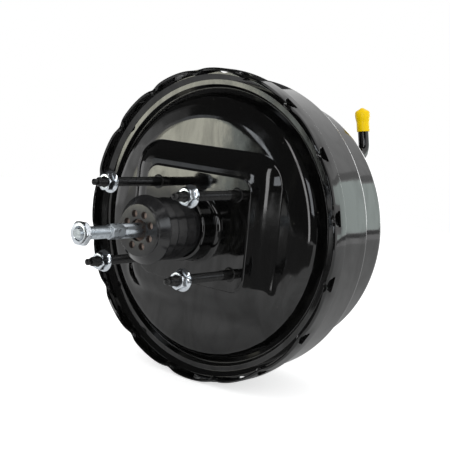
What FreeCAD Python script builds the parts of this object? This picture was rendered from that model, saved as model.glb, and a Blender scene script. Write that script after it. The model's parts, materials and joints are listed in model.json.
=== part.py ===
import FreeCAD, Part
import math
import os
import Sketcher

# Brake booster, in millimetres. +Z is up and the booster's axis lies along Y. The pedal side
# looks towards -Y and the engine side towards +Y. The origin is on the axis, in the plane of the
# mounting pad's face. A radius is measured from the axis, and a plane is a place along Y.

os.makedirs("parts", exist_ok=True)
doc = FreeCAD.newDocument("brake_booster")
sheet = doc.addObject("Spreadsheet::Sheet", "Sizes")


class Size:
    """A number together with the sheet expression that gives it."""

    def __init__(self, value, text):
        self.value = value
        self.text = text

    def joined(self, sign, other, value):
        return Size(value, "(" + self.text + " " + sign + " " + other.text + ")")

    def __add__(self, other):
        other = as_size(other)
        return self.joined("+", other, self.value + other.value)

    def __sub__(self, other):
        other = as_size(other)
        return self.joined("-", other, self.value - other.value)

    def __mul__(self, other):
        other = as_size(other)
        return self.joined("*", other, self.value * other.value)

    def __truediv__(self, other):
        other = as_size(other)
        return self.joined("/", other, self.value / other.value)

    def __radd__(self, other):
        return as_size(other) + self

    def __rsub__(self, other):
        return as_size(other) - self

    def __rmul__(self, other):
        return as_size(other) * self

    def __neg__(self):
        return as_size(0) - self


def as_size(number):
    if isinstance(number, Size):
        return number
    return Size(float(number), "%.9g" % number)


def size(alias, value, note):
    """Writes one driving dimension into the sheet and returns it."""
    row = str(size.rows)
    size.rows += 1
    sheet.set("A" + row, note)
    sheet.set("B" + row, "%.9g" % value)
    sheet.setAlias("B" + row, alias)
    return Size(float(value), "Sizes." + alias)


size.rows = 1

# Clearances
slide_gap = size("slide_gap", 0.1, "radial play of a piece that slides or turns in its bore")
seat_gap = size("seat_gap", 0.3, "distance between a piece and its seat")
thread_gap = size("thread_gap", 0.03, "radial play between a nut and its thread")
overcut = size("overcut", 1, "how far a cut runs past the material")
edge_break = size("edge_break", 1, "chamfer at the end of a rod or a bolt")

# Both shells
shell_wall = size("shell_wall", 1.6, "sheet thickness of both shells")
flange_radius = size("flange_radius", 131.6, "outer radius of the crimped flange")
flange_step = size("flange_step", 5.6, "height of the flange over the large drum")
drum_front = size("drum_front", 70, "plane where the large drum ends")
nose_step = size("nose_step", 14.5, "height of the large drum over the nose")
nose_front = size("nose_front", 120, "plane of the nose's front face")
nose_bend = size("nose_bend", 10, "outer bend at the edge of the front face")
drum_bend = size("drum_bend", 5, "outer bend at the front of the drum")
flange_edge = size("flange_edge", 12, "plane of the flange's free edge")
flange_back = size("flange_back", 27.5, "plane where the flange meets the drum")
flange_bend = size("flange_bend", 3, "outer bend of the flange")
recess_radius = size("recess_radius", 60, "radius of the front face's recess at its mouth")
recess_floor_radius = size("recess_floor_radius", 54, "radius of the recess floor")
recess_depth = size("recess_depth", 8, "depth of the recess in the front face")
recess_bend = size("recess_bend", 3, "bends of the recess")
front_bore = size("front_bore", 22, "radius of the bore in the front shell's collar")
front_collar = size("front_collar", 10, "length of the front shell's collar")
collar_bend = size("collar_bend", 2.5, "bend between recess floor and collar")

# Crimps of the flange
crimp_count = 16
crimp_width = size("crimp_width", 11, "width of a crimp's window")
crimp_depth = size("crimp_depth", 3.6, "depth of a crimp's window along the axis")
crimp_turn = size("crimp_turn", 11.25, "angle of the first crimp from the horizontal, in degrees")
tongue_width = size("tongue_width", 9, "width of a crimp's tongue")
tongue_reach = size("tongue_reach", 3, "how far a tongue reaches over the rear shell's rim")
tongue_root = size("tongue_root", 1.4, "length by which a tongue hangs on the flange")
tongue_bite = size("tongue_bite", 0.2, "how deep a tongue's root reaches into the flange")
notch_depth = size("notch_depth", 1.8, "depth of the dip in the flange's edge at a crimp")
relief_width = size("relief_width", 12, "length of the relief slot between two crimps")
relief_height = size("relief_height", 2.2, "radial height of a relief slot")

# Rear shell
platform_plane = size("platform_plane", 11.8, "plane of the round platform")
platform_bend = size("platform_bend", 12, "bend at the platform's edge")
dish_width = size("dish_width", 16.4, "width of the dish between the platform and its shoulder")
dish_plane = size("dish_plane", 14.8, "plane of the dish's outer shoulder")
dish_bend = size("dish_bend", 6, "bend of the dish's outer shoulder")
dish_slope = size("dish_slope", 7.8, "width of the slope between the dish and the groove")
groove_width = size("groove_width", 3.7, "width of the groove's floor")
groove_plane = size("groove_plane", 27.1, "plane of the groove's floor")
groove_bend = size("groove_bend", 1.2, "bends of the groove's floor")
groove_slope = size("groove_slope", 4, "width of the slope between the groove and the rim")
rim_width = size("rim_width", 9.1, "distance of the flat rim's start from the flange's outside")
rim_plane = size("rim_plane", 20.4, "plane of the flat rim")
rim_bend = size("rim_bend", 2.4, "bend where the flat rim starts")
boss_half_width = size("boss_half_width", 77.7, "half width of the raised boss at the platform")
boss_half_height = size("boss_half_height", 66.3, "half height of the raised boss at the platform")
boss_top_plane = size("boss_top_plane", 2.5, "plane of the boss's flat top")
boss_corner = size("boss_corner", 18, "corner radius of the boss's flat top")
pad_half_width = size("pad_half_width", 56, "half width of the mounting pad")
pad_half_height = size("pad_half_height", 46.7, "half height of the mounting pad")
pad_corner = size("pad_corner", 12, "corner radius of the mounting pad")
pad_slope = size("pad_slope", 4.5, "width of the slope around the mounting pad")
neck_radius = size("neck_radius", 26.8, "outer radius of the neck")
neck_length = size("neck_length", 18.5, "length of the neck from the pad's face")
neck_bend = size("neck_bend", 4.5, "bend between the neck and the pad")
neck_lip_radius = size("neck_lip_radius", 23.6, "inner radius of the neck's turned lip")
lip_bend = size("lip_bend", 2.2, "outer bend of the neck's lip")

# Fasteners
stud_spacing_x = size("stud_spacing_x", 85, "distance between the mounting studs across")
stud_spacing_z = size("stud_spacing_z", 64.5, "distance between the mounting studs up")
stud_radius = size("stud_radius", 3.88, "outer radius of an M8 stud's thread")
stud_shank_radius = size("stud_shank_radius", 4.1, "radius of a stud's smooth shank")
stud_shank_length = size("stud_shank_length", 10, "length of a stud's smooth shank")
stud_knurl_radius = size("stud_knurl_radius", 4.3, "radius of the knurl pressed into its plate")
stud_length = size("stud_length", 76.9, "length of a mounting stud from the pad's face")
stud_dog_radius = size("stud_dog_radius", 2.6, "radius of a mounting stud's thin end")
stud_dog_length = size("stud_dog_length", 5.2, "length of a mounting stud's thin end")
stud_collar_radius = size("stud_collar_radius", 6, "radius of a mounting stud's collar")
stud_collar_proud = size("stud_collar_proud", 0.45, "how far the collar stands out of the pad")
stud_head_radius = size("stud_head_radius", 8, "radius of a stud's head")
stud_head_height = size("stud_head_height", 3, "thickness of a stud's head")
nut_seat_plane = size("nut_seat_plane", 56.5, "distance of a flange nut's seat from the pad's face")
nut_flange_radius = size("nut_flange_radius", 8.95, "radius of a flange nut's flange")
nut_flange_rim = size("nut_flange_rim", 1.1, "thickness of a flange nut's flange at its rim")
nut_cone_height = size("nut_cone_height", 1.6, "height of a flange nut's cone")
nut_height = size("nut_height", 8, "height of a flange nut")
nut_hex_flats = size("nut_hex_flats", 13, "width of a flange nut's hexagon across its flats")
master_head_radius = size("master_head_radius", 7, "radius of a master cylinder stud's head")
master_spacing = size("master_spacing", 82, "distance between the master cylinder's studs")
master_stud_length = size("master_stud_length", 26, "length of these studs from the recess floor")

# Plates
rear_plate_wall = size("rear_plate_wall", 3, "thickness of the rear reinforcement plate")
rear_plate_margin = size("rear_plate_margin", 5, "the rear plate is smaller than the pad by this")
rear_plate_bore = size("rear_plate_bore", 32, "radius of the rear plate's bore")
front_plate_wall = size("front_plate_wall", 3, "thickness of the front reinforcement plate")
front_plate_half_width = size("front_plate_half_width", 49.5, "half width of the front plate")
front_plate_half_height = size("front_plate_half_height", 35, "half height of the front plate")
front_plate_corner = size("front_plate_corner", 18, "corner radius of the front plate")

# Vacuum pipe and its cap
pipe_margin = size("pipe_margin", 17.23, "distance of the pipe's root from the nose's outside")
pipe_turn = size("pipe_turn", 45.9, "angle of the pipe's root above the horizontal, in degrees")
pipe_lean = size("pipe_lean", 11, "lean of the pipe's upright leg, in degrees")
pipe_radius = size("pipe_radius", 4.75, "outer radius of the pipe")
pipe_bore = size("pipe_bore", 3.75, "inner radius of the pipe")
pipe_run = size("pipe_run", 16.6, "length of the pipe's run out of the front face")
pipe_bend = size("pipe_bend", 11.4, "centre line radius of the pipe's bend")
pipe_leg = size("pipe_leg", 28, "length of the pipe's upright leg")
pipe_inset = size("pipe_inset", 5, "length of the pipe inside the shell")
pipe_bead_radius = size("pipe_bead_radius", 5, "outer radius of the bead near the pipe's end")
pipe_bead_height = size("pipe_bead_height", 3, "height of the bead")
pipe_bead_drop = size("pipe_bead_drop", 2, "distance of the bead from the pipe's end")
pipe_bead_slope = size("pipe_bead_slope", 0.6, "length of the bead's slopes")
pipe_collar_radius = size("pipe_collar_radius", 7.5, "outer radius of the pipe's collar")
pipe_collar_height = size("pipe_collar_height", 2, "height of the pipe's collar")
cap_wall = size("cap_wall", 0.5, "wall of the cap's sleeve")
cap_bulge_radius = size("cap_bulge_radius", 6.6, "outer radius of the cap's bulge")
cap_bulge_drop = size("cap_bulge_drop", 5, "distance of the bulge's lower edge from the pipe's end")
cap_crown_wall = size("cap_crown_wall", 1.5, "thickness of the cap's crown")
cap_slope = size("cap_slope", 4, "length of the slope below the cap's bulge")
cap_shoulder = size("cap_shoulder", 1.6, "width of the slope around the cap's crown")
cap_length = size("cap_length", 19.4, "length of the cap without its tip")
cap_tip_height = size("cap_tip_height", 1.6, "height of the cap's tip")
cap_tip_radius = size("cap_tip_radius", 1.8, "radius of the cap's tip")

# Moving group
tube_radius = size("tube_radius", 20, "outer radius of the valve body's tube")
tube_bore = size("tube_bore", 17, "radius of the valve body's filter bay")
tail_plane = size("tail_plane", 62, "distance of the valve body's tail behind the pad's face")
bay_floor_plane = size("bay_floor_plane", 20, "distance of the filter bay's floor behind the pad")
poppet_bay_radius = size("poppet_bay_radius", 14, "radius of the poppet's bay")
seat_plane = size("seat_plane", 5, "distance of both valve seats behind the pad's face")
vacuum_seat_inner = size("vacuum_seat_inner", 11, "inner radius of the vacuum seat")
vacuum_seat_outer = size("vacuum_seat_outer", 12.5, "outer radius of the vacuum seat")
seat_height = size("seat_height", 3, "height of the vacuum seat")
plunger_radius = size("plunger_radius", 8, "radius of the air valve's plunger")
plunger_flange_radius = size("plunger_flange_radius", 9.6, "radius of the air valve's seat")
plunger_flange_wall = size("plunger_flange_wall", 1.8, "thickness of the air valve's seat")
plunger_pocket_depth = size("plunger_pocket_depth", 1.4, "depth of the pocket ahead of the air valve's seat")
plunger_pocket_gap = size("plunger_pocket_gap", 1, "play around the air valve's seat in that pocket")
rod_mouth_gap = size("rod_mouth_gap", 1, "play of the pushrod's neck in the air valve's mouth")
duct_radius = size("duct_radius", 1.5, "radius of the duct through the valve body")
piston_flange_plane = size("piston_flange_plane", 36, "plane of the piston flange's rear face")
piston_flange_wall = size("piston_flange_wall", 3.5, "thickness of the piston flange")
piston_flange_radius = size("piston_flange_radius", 38, "radius of the piston flange")
hub_radius = size("hub_radius", 25, "radius of the valve body's front hub")
hub_front = size("hub_front", 52, "plane of the front hub's end")
disc_bay_radius = size("disc_bay_radius", 15, "radius of the reaction disc's bay")
disc_bay_floor = size("disc_bay_floor", 40, "plane of the reaction disc's bay floor")
disc_wall = size("disc_wall", 5.7, "thickness of the reaction disc")
output_flange_wall = size("output_flange_wall", 4.7, "thickness of the output rod's flange")
output_radius = size("output_radius", 6, "radius of the output rod")
output_end = size("output_end", 128, "plane of the output rod's end")
output_root = size("output_root", 2, "slope between the output rod and its flange")
output_retainer_bore = size("output_retainer_bore", 10, "bore of the output rod's retainer")
output_retainer_radius = size("output_retainer_radius", 24, "outer radius of this retainer")
adjuster_thread = size("adjuster_thread", 3, "radius of the output rod adjuster's thread")
adjuster_flats = size("adjuster_flats", 9, "width of the adjuster's head across its flats")
adjuster_head = size("adjuster_head", 5.5, "height of the adjuster's head")
adjuster_depth = size("adjuster_depth", 20, "depth of the adjuster's thread in the output rod")
key_wall = size("key_wall", 3, "thickness of the stop key")
key_plane = size("key_plane", 12, "plane of the stop key's rear face")
key_width = size("key_width", 13, "width of the stop key")
key_reach = size("key_reach", 24, "radius that the stop key reaches to")
key_groove_radius = size("key_groove_radius", 5, "radius of the air valve's groove for the key")
key_leg_drop = size("key_leg_drop", 4, "how far the key's legs reach below the axis")
valve_travel = size("valve_travel", 1.2, "travel of the air valve in the valve body")
nose_gap = size("nose_gap", 0.3, "play between the air valve's nose and the reaction disc")

# Diaphragm and its plate
plate_wall = size("plate_wall", 1.5, "thickness of the diaphragm plate")
plate_hub_radius = size("plate_hub_radius", 50, "radius where the plate's cone starts")
plate_cone_radius = size("plate_cone_radius", 70, "radius where the plate's cone ends")
plate_flat_plane = size("plate_flat_plane", 25, "plane of the plate's outer ring")
fold_room = size("fold_room", 22.4, "room for the diaphragm's fold between plate and drum")
plate_edge = size("plate_edge", 34, "plane of the plate's turned edge")
plate_bend = size("plate_bend", 3, "bends of the plate")
rubber_wall = size("rubber_wall", 1.5, "thickness of the diaphragm")
rubber_top = size("rubber_top", 48, "plane of the top of the diaphragm's fold")
rubber_bend = size("rubber_bend", 7, "bends of the diaphragm's fold")
bead_bend = size("bead_bend", 1, "bend between the diaphragm's fold and its outer bead")
inner_bead_width = size("inner_bead_width", 4.4, "width of the diaphragm's inner bead")
inner_bead_height = size("inner_bead_height", 4.2, "height of the diaphragm's inner bead")

# Springs
return_coil_radius = size("return_coil_radius", 31, "mean radius of the return spring")
return_wire = size("return_wire", 1.8, "radius of the return spring's wire")
return_turns = size("return_turns", 5, "turns of the return spring")
rod_coil_radius = size("rod_coil_radius", 10.5, "mean radius of the rod's return spring")
rod_wire = size("rod_wire", 0.8, "radius of the rod spring's wire")
rod_turns = size("rod_turns", 5, "turns of the rod's return spring")
poppet_coil_radius = size("poppet_coil_radius", 8.2, "mean radius of the poppet's spring")
poppet_wire = size("poppet_wire", 0.4, "radius of the poppet spring's wire")
poppet_turns = size("poppet_turns", 5, "turns of the poppet's spring")
coil_steps = 12
coil_bend_share = 0.48

# Poppet
poppet_lip_radius = size("poppet_lip_radius", 6.8, "inner radius of the poppet's face")
poppet_face_wall = size("poppet_face_wall", 2.6, "thickness of the poppet's face")
poppet_face_margin = size("poppet_face_margin", 0.5, "how far the face reaches past the vacuum seat")
poppet_wall = size("poppet_wall", 1.5, "wall of the poppet's sleeve")
poppet_foot_height = size("poppet_foot_height", 1.8, "height of the poppet's foot")
poppet_foot_depth = size("poppet_foot_depth", 1, "how deep the foot lies in the poppet's bay")
poppet_retainer_bore = size("poppet_retainer_bore", 7.2, "bore of the poppet's retainer")
poppet_retainer_wall = size("poppet_retainer_wall", 1.5, "thickness of the poppet's retainer")

# Seals and bearing
bearing_rear = size("bearing_rear", 12.5, "distance of the rear bearing's end behind the pad")
bearing_length = size("bearing_length", 6.5, "length of the rear bearing")
seal_length = size("seal_length", 7, "length of the rear seal")
seal_lip = size("seal_lip", 2, "width of the rear seal's lip")
seal_retainer_wall = size("seal_retainer_wall", 1.2, "thickness of the seal retainers")
rear_retainer_radius = size("rear_retainer_radius", 36, "outer radius of the rear seal retainer")
front_seal_length = size("front_seal_length", 7.5, "length of the front seal")
front_seal_foot = size("front_seal_foot", 1, "height of the front seal's foot in its retainer")
rear_retainer_gap = size("rear_retainer_gap", 1, "play of the rear retainer around the valve body")

# Pushrod, lock nut and what sits on the rod
ball_radius = size("ball_radius", 5.5, "radius of the pushrod's ball")
ball_plane = size("ball_plane", 2, "plane of the ball's centre")
rod_neck_radius = size("rod_neck_radius", 3.4, "radius of the pushrod's neck")
rod_neck_length = size("rod_neck_length", 16, "length of the neck from the ball's centre")
rod_stem_radius = size("rod_stem_radius", 4.5, "radius of the pushrod's inner stem")
rod_shoulder_plane = size("rod_shoulder_plane", 44.2, "distance of the rod's shoulder behind the pad")
rod_shank_radius = size("rod_shank_radius", 5.9, "radius of the pushrod's shank")
rod_hex_start = size("rod_hex_start", 85, "distance where the hexagonal section starts")
rod_hex_end = size("rod_hex_end", 98, "distance where the hexagonal section ends")
rod_hex_flats = size("rod_hex_flats", 11, "width of the hexagonal section across its flats")
rod_thread_radius = size("rod_thread_radius", 4.98, "radius of the pushrod's M10 thread")
rod_end = size("rod_end", 130.6, "distance of the pushrod's end behind the pad")
rod_end_chamfer = size("rod_end_chamfer", 1.4, "chamfer of the pushrod's end")
lock_nut_front = size("lock_nut_front", 129, "distance of the lock nut's outer face behind the pad")
lock_nut_height = size("lock_nut_height", 5, "height of the lock nut")
lock_nut_flats = size("lock_nut_flats", 17, "width of the lock nut across its flats")
nut_chamfer = size("nut_chamfer", 0.9, "height of the chamfer on a nut's corners")
nut_face_inset = size("nut_face_inset", 0.3, "how far inside its flats a nut's face ends")
spring_seat_radius = size("spring_seat_radius", 12.6, "outer radius of the rod spring's seat")
spring_seat_wall = size("spring_seat_wall", 1, "thickness of the rod spring's seat")

# Boot, filter and silencer
boot_face_plane = size("boot_face_plane", 66, "distance of the boot's front face behind the pad")
boot_face_radius = size("boot_face_radius", 21.3, "radius of the boot's front face")
boot_face_wall = size("boot_face_wall", 3.2, "thickness of the boot's front disc")
boot_hole_radius = size("boot_hole_radius", 8.6, "radius of the boot's centre hole")
boot_bevel = size("boot_bevel", 1, "bevel around the boot's front face")
boot_wall = size("boot_wall", 1.9, "wall of the boot")
boot_band_radius = size("boot_band_radius", 27.4, "radius of the boot's wide band")
boot_band_plane = size("boot_band_plane", 57, "distance of the wide band's edge behind the pad")
boot_crest_radius = size("boot_crest_radius", 25.1, "radius of the boot's folds at their crests")
boot_valley_radius = size("boot_valley_radius", 22.9, "radius of the boot's folds at their valleys")
boot_fold_pitch = size("boot_fold_pitch", 10.6, "distance between two folds of the boot")
boot_fold_count = 3
boot_crest_land = size("boot_crest_land", 0.9, "width of a fold's crest")
boot_fold_drop = size("boot_fold_drop", 0.7, "length of the drop behind a crest")
boot_bead_length = size("boot_bead_length", 3.4, "length of the bead inside the neck")
breather_count = 8
breather_radius = size("breather_radius", 2.9, "radius of a breather hole")
breather_circle = size("breather_circle", 13.3, "radius of the breather holes' circle")
breather_turn = size("breather_turn", 22.5, "angle of the first breather hole, in degrees")
filter_bore = size("filter_bore", 8.4, "radius of the filter's bore")
filter_length = size("filter_length", 9.7, "length of the air filter")
silencer_length = size("silencer_length", 5.5, "length of the silencer")

doc.recompute()


def cosine(turn):
    return Size(math.cos(math.radians(turn.value)), "cos(" + turn.text + " * 1 deg)")


def sine(turn):
    return Size(math.sin(math.radians(turn.value)), "sin(" + turn.text + " * 1 deg)")


# Places that follow from the sizes
flange_inner_radius = flange_radius - shell_wall
drum_radius = flange_radius - flange_step
drum_inner_radius = drum_radius - shell_wall
nose_radius = drum_radius - nose_step
rim_radius = flange_inner_radius - seat_gap
rim_start_radius = flange_radius - rim_width
groove_outer_radius = rim_start_radius - groove_slope
groove_inner_radius = groove_outer_radius - groove_width
dish_radius = groove_inner_radius - dish_slope
platform_radius = dish_radius - dish_width
plate_radius = drum_inner_radius - fold_room
pipe_side = (nose_radius - pipe_margin) * cosine(pipe_turn)
pipe_rise = (nose_radius - pipe_margin) * sine(pipe_turn)
recess_plane = nose_front - recess_depth
neck_inner_radius = neck_radius - shell_wall
rear_plate_plane = shell_wall
rear_plate_front = rear_plate_plane + rear_plate_wall
front_plate_rear = recess_plane - shell_wall - front_plate_wall
plate_plane = piston_flange_plane + piston_flange_wall + seat_gap
plate_front = plate_plane + plate_wall
flare = math.tan(math.radians(22.5))
hexagon_corner = 1 / math.cos(math.radians(30))


def plane_of(body, role):
    for feature in body.Origin.OriginFeatures:
        if feature.Role == role:
            return feature


def new_body(label):
    body = doc.addObject("PartDesign::Body", label)
    body.Label = label
    return body


def new_sketch(body, name, role, offset=None):
    """A sketch on one of the body's origin planes, moved along x, y and z of that plane."""
    sketch = body.newObject("Sketcher::SketchObject", body.Name + "_" + name)
    sketch.AttachmentSupport = [(plane_of(body, role), "")]
    sketch.MapMode = "FlatFace"
    if offset is not None:
        for letter, distance in offset.items():
            setattr(sketch.AttachmentOffset.Base, letter, as_size(distance).value)
            sketch.setExpression("AttachmentOffset.Base." + letter, as_size(distance).text)
    return sketch


def profile_sketch(body, name, offset=None):
    """Sketch of a half section: x is the radius and y the place along the axis."""
    return new_sketch(body, name, "XY_Plane", offset)


def cross_sketch(body, name, place):
    """Sketch across the axis: x is X and y is Z, at a place along the axis."""
    return new_sketch(body, name, "XZ_Plane", {"z": -as_size(place)})


def bind(sketch, constraint, expression):
    index = sketch.addConstraint(constraint)
    sketch.setExpression("Constraints[" + str(index) + "]", expression)
    return index


def pin_point(sketch, geometry, position, x, y):
    """Places one point of the geometry at x, y from the sketch's origin."""
    x = as_size(x)
    y = as_size(y)
    bind(sketch, Sketcher.Constraint("DistanceX", -1, 1, geometry, position, x.value), x.text)
    bind(sketch, Sketcher.Constraint("DistanceY", -1, 1, geometry, position, y.value), y.text)


def circle(sketch, x, y, radius):
    radius = as_size(radius)
    centre = FreeCAD.Vector(as_size(x).value, as_size(y).value, 0)
    geometry = sketch.addGeometry(Part.Circle(centre, FreeCAD.Vector(0, 0, 1), radius.value))
    pin_point(sketch, geometry, 3, x, y)
    bind(sketch, Sketcher.Constraint("Radius", geometry, radius.value), radius.text)
    return geometry


class Corner:
    """One corner of an outline, with the radius that rounds it."""

    def __init__(self, x, y, bend=0):
        self.x = as_size(x)
        self.y = as_size(y)
        self.bend = as_size(bend)
        self.point = FreeCAD.Vector(self.x.value, self.y.value, 0)


def corners_of(places):
    return [Corner(*place) for place in places]


def tangent_points(before, here, after, bend):
    """Ends and centre of the arc that rounds a corner, and whether it turns left."""
    inward = (here - before).normalize()
    outward = (after - here).normalize()
    turn = math.atan2(inward.cross(outward).z, inward.dot(outward))
    trim = bend * math.tan(abs(turn) / 2)
    start = here - inward * trim
    end = here + outward * trim
    side = 1 if turn > 0 else -1
    normal = FreeCAD.Vector(-inward.y, inward.x, 0) * side
    return start, end, start + normal * bend, turn > 0


def add_arc(sketch, start, end, centre, bend, left):
    first = math.atan2(start.y - centre.y, start.x - centre.x)
    last = math.atan2(end.y - centre.y, end.x - centre.x)
    if not left:
        first, last = last, first
    whole = Part.Circle(centre, FreeCAD.Vector(0, 0, 1), bend)
    return sketch.addGeometry(Part.ArcOfCircle(whole, first, last))


def draw_chain(sketch, points, bends, closed):
    """Lines through the points with arcs at the rounded ones: returns lines and arcs by index."""
    count = len(points)
    starts = list(points)
    ends = list(points)
    arcs = {}
    for index in range(count):
        if bends[index] <= 0 or (not closed and index in (0, count - 1)):
            continue
        before = points[index - 1]
        after = points[(index + 1) % count]
        start, end, centre, left = tangent_points(before, points[index], after, bends[index])
        ends[index] = start
        starts[index] = end
        arcs[index] = (add_arc(sketch, start, end, centre, bends[index], left), left)
    lines = []
    for index in range(count if closed else count - 1):
        stop = ends[(index + 1) % count]
        lines.append(sketch.addGeometry(Part.LineSegment(starts[index], stop)))
    return lines, arcs


def join_chain(sketch, lines, arcs, count, closed):
    """Tangent joints at the arcs and plain joints elsewhere."""
    for index in range(count):
        if not closed and index in (0, count - 1):
            continue
        before = lines[index - 1]
        after = lines[index]
        if index not in arcs:
            sketch.addConstraint(Sketcher.Constraint("Coincident", before, 2, after, 1))
            continue
        arc, left = arcs[index]
        first, last = (1, 2) if left else (2, 1)
        sketch.addConstraint(Sketcher.Constraint("Tangent", before, 2, arc, first))
        sketch.addConstraint(Sketcher.Constraint("Tangent", arc, last, after, 1))


def bind_corners(sketch, corners, lines, arcs, closed):
    """Ties every corner of the outline to its sizes."""
    count = len(corners)
    for index, corner in enumerate(corners):
        if index not in arcs:
            if index < len(lines):
                pin_point(sketch, lines[index], 1, corner.x, corner.y)
            else:
                pin_point(sketch, lines[index - 1], 2, corner.x, corner.y)
            continue
        mark = sketch.addGeometry(Part.Point(corner.point), True)
        pin_point(sketch, mark, 1, corner.x, corner.y)
        sketch.addConstraint(Sketcher.Constraint("PointOnObject", mark, 1, lines[index - 1]))
        sketch.addConstraint(Sketcher.Constraint("PointOnObject", mark, 1, lines[index]))
        arc = arcs[index][0]
        bind(sketch, Sketcher.Constraint("Radius", arc, corner.bend.value), corner.bend.text)


def outline(sketch, places):
    """A closed outline through places given as x, y and, where it is rounded, a radius."""
    corners = corners_of(places)
    points = [corner.point for corner in corners]
    bends = [corner.bend.value for corner in corners]
    lines, arcs = draw_chain(sketch, points, bends, True)
    join_chain(sketch, lines, arcs, len(corners), True)
    bind_corners(sketch, corners, lines, arcs, True)
    return lines


def offset_points(points, wall):
    """Points of the line that runs beside an open line, wall to its left."""
    result = []
    for index, point in enumerate(points):
        directions = []
        if index > 0:
            directions.append((point - points[index - 1]).normalize())
        if index < len(points) - 1:
            directions.append((points[index + 1] - point).normalize())
        normals = [FreeCAD.Vector(-step.y, step.x, 0) for step in directions]
        middle = normals[0] + normals[-1]
        result.append(point + middle * (wall / middle.dot(normals[0])))
    return result


def sheet_outline(sketch, places, wall):
    """Section of a bent sheet: the given line is its right side, and the wall lies to the left."""
    corners = corners_of(places)
    points = [corner.point for corner in corners]
    bends = [corner.bend.value for corner in corners]
    lines, arcs = draw_chain(sketch, points, bends, False)
    join_chain(sketch, lines, arcs, len(corners), False)
    bind_corners(sketch, corners, lines, arcs, False)
    far_points = offset_points(points, wall.value)
    far_bends = []
    for index in range(len(points)):
        left = index in arcs and arcs[index][1]
        far_bends.append(bends[index] + (-wall.value if left else wall.value) if bends[index] else 0)
    far_lines, far_arcs = draw_chain(sketch, far_points, far_bends, False)
    join_chain(sketch, far_lines, far_arcs, len(corners), False)
    for near, far in zip(lines, far_lines):
        sketch.addConstraint(Sketcher.Constraint("Parallel", near, far))
        bind(sketch, Sketcher.Constraint("Distance", near, 1, far, wall.value), wall.text)
    for index, (arc, left) in far_arcs.items():
        bend = corners[index].bend - wall if left else corners[index].bend + wall
        bind(sketch, Sketcher.Constraint("Radius", arc, bend.value), bend.text)
    for line, far_line, end in ((lines[0], far_lines[0], 1), (lines[-1], far_lines[-1], 2)):
        near_point = sketch.getPoint(line, end)
        far_point = sketch.getPoint(far_line, end)
        lid = sketch.addGeometry(Part.LineSegment(near_point, far_point))
        sketch.addConstraint(Sketcher.Constraint("Coincident", lid, 1, line, end))
        sketch.addConstraint(Sketcher.Constraint("Coincident", lid, 2, far_line, end))
        sketch.addConstraint(Sketcher.Constraint("Perpendicular", lid, line))


def hexagon(sketch, x, y, flats):
    """A hexagon with two level flats."""
    side = as_size(flats) * (hexagon_corner / 2)
    places = []
    for index in range(6):
        angle = math.radians(60 * index)
        places.append((x + side * math.cos(angle), y + side * math.sin(angle)))
    outline(sketch, places)


def rectangle(sketch, left, low, right, high, bend=0):
    outline(sketch, [(left, low, bend), (right, low, bend), (right, high, bend), (left, high, bend)])


def centred_rectangle(sketch, half_width, half_height, bend=0):
    rectangle(sketch, -half_width, -half_height, half_width, half_height, bend)


def spin(body, sketch, name, kind="PartDesign::Revolution", axis="V_Axis"):
    """Turns a half section into a round solid, or cuts one away."""
    feature = body.newObject(kind, body.Name + "_" + name)
    feature.Profile = sketch
    feature.ReferenceAxis = (sketch, [axis])
    feature.Angle = 360
    sketch.Visibility = False
    return feature


def set_length(feature, name, distance):
    setattr(feature, name, as_size(distance).value)
    feature.setExpression(name, as_size(distance).text)


def grow(body, sketch, name, length, forward=True, kind="PartDesign::Pad"):
    """Pads or cuts a cross sketch along the axis: forward is towards +Y."""
    feature = body.newObject(kind, body.Name + "_" + name)
    feature.Profile = sketch
    set_length(feature, "Length", length)
    cut = kind == "PartDesign::Pocket"
    feature.Reversed = forward != cut
    return feature


def cut_along(body, sketch, name, length, forward=True):
    return grow(body, sketch, name, length, forward, "PartDesign::Pocket")


def loft(body, first, last, name, kind="PartDesign::AdditiveLoft"):
    feature = body.newObject(kind, body.Name + "_" + name)
    feature.Profile = first
    feature.Sections = [last]
    feature.Ruled = True
    return feature


def repeat_round(body, features, name, count):
    """Repeats features evenly about the booster's axis."""
    pattern = body.newObject("PartDesign::PolarPattern", body.Name + "_" + name)
    pattern.Originals = features
    pattern.Axis = (plane_of(body, "Y_Axis"), [""])
    pattern.Angle = 360
    pattern.Occurrences = count
    body.Tip = pattern
    return pattern


def repeat_mirrored(body, features, name, roles):
    """Repeats features by mirroring them across the given origin planes."""
    mirrors = []
    for role in roles:
        mirror = body.newObject("PartDesign::Mirrored", body.Name + "_" + name + "_" + role)
        mirror.MirrorPlane = (plane_of(body, role), [""])
        mirrors.append(mirror)
    pattern = body.newObject("PartDesign::MultiTransform", body.Name + "_" + name)
    pattern.Originals = features
    pattern.Transformations = mirrors
    body.Tip = pattern
    return pattern


def round_piece(label, places):
    """A piece that is one round solid, from its half section."""
    body = new_body(label)
    sketch = profile_sketch(body, "section")
    outline(sketch, places)
    spin(body, sketch, "turned")
    return body


def ring(label, inner, outer, rear, front):
    return round_piece(label, [(inner, rear), (outer, rear), (outer, front), (inner, front)])


def pressed_piece(label, places, wall):
    """A piece that is one round pressing of even thickness."""
    body = new_body(label)
    sketch = profile_sketch(body, "section")
    sheet_outline(sketch, places, wall)
    spin(body, sketch, "pressed")
    return body


def place_body(body, x, y, z):
    for letter, distance in (("x", x), ("y", y), ("z", z)):
        body.setExpression("Placement.Base." + letter, as_size(distance).text)


def radial_block(sketch, turn, inner, outer, width):
    """A rectangle that stands on a ray from the axis, turned from +X towards +Z."""
    along = cosine(turn)
    up = sine(turn)
    half = as_size(width) / 2
    places = []
    for radius, side in ((inner, -1), (outer, -1), (outer, 1), (inner, 1)):
        x = as_size(radius) * along - half * side * up
        z = as_size(radius) * up + half * side * along
        places.append((x, z))
    outline(sketch, places)


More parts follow.
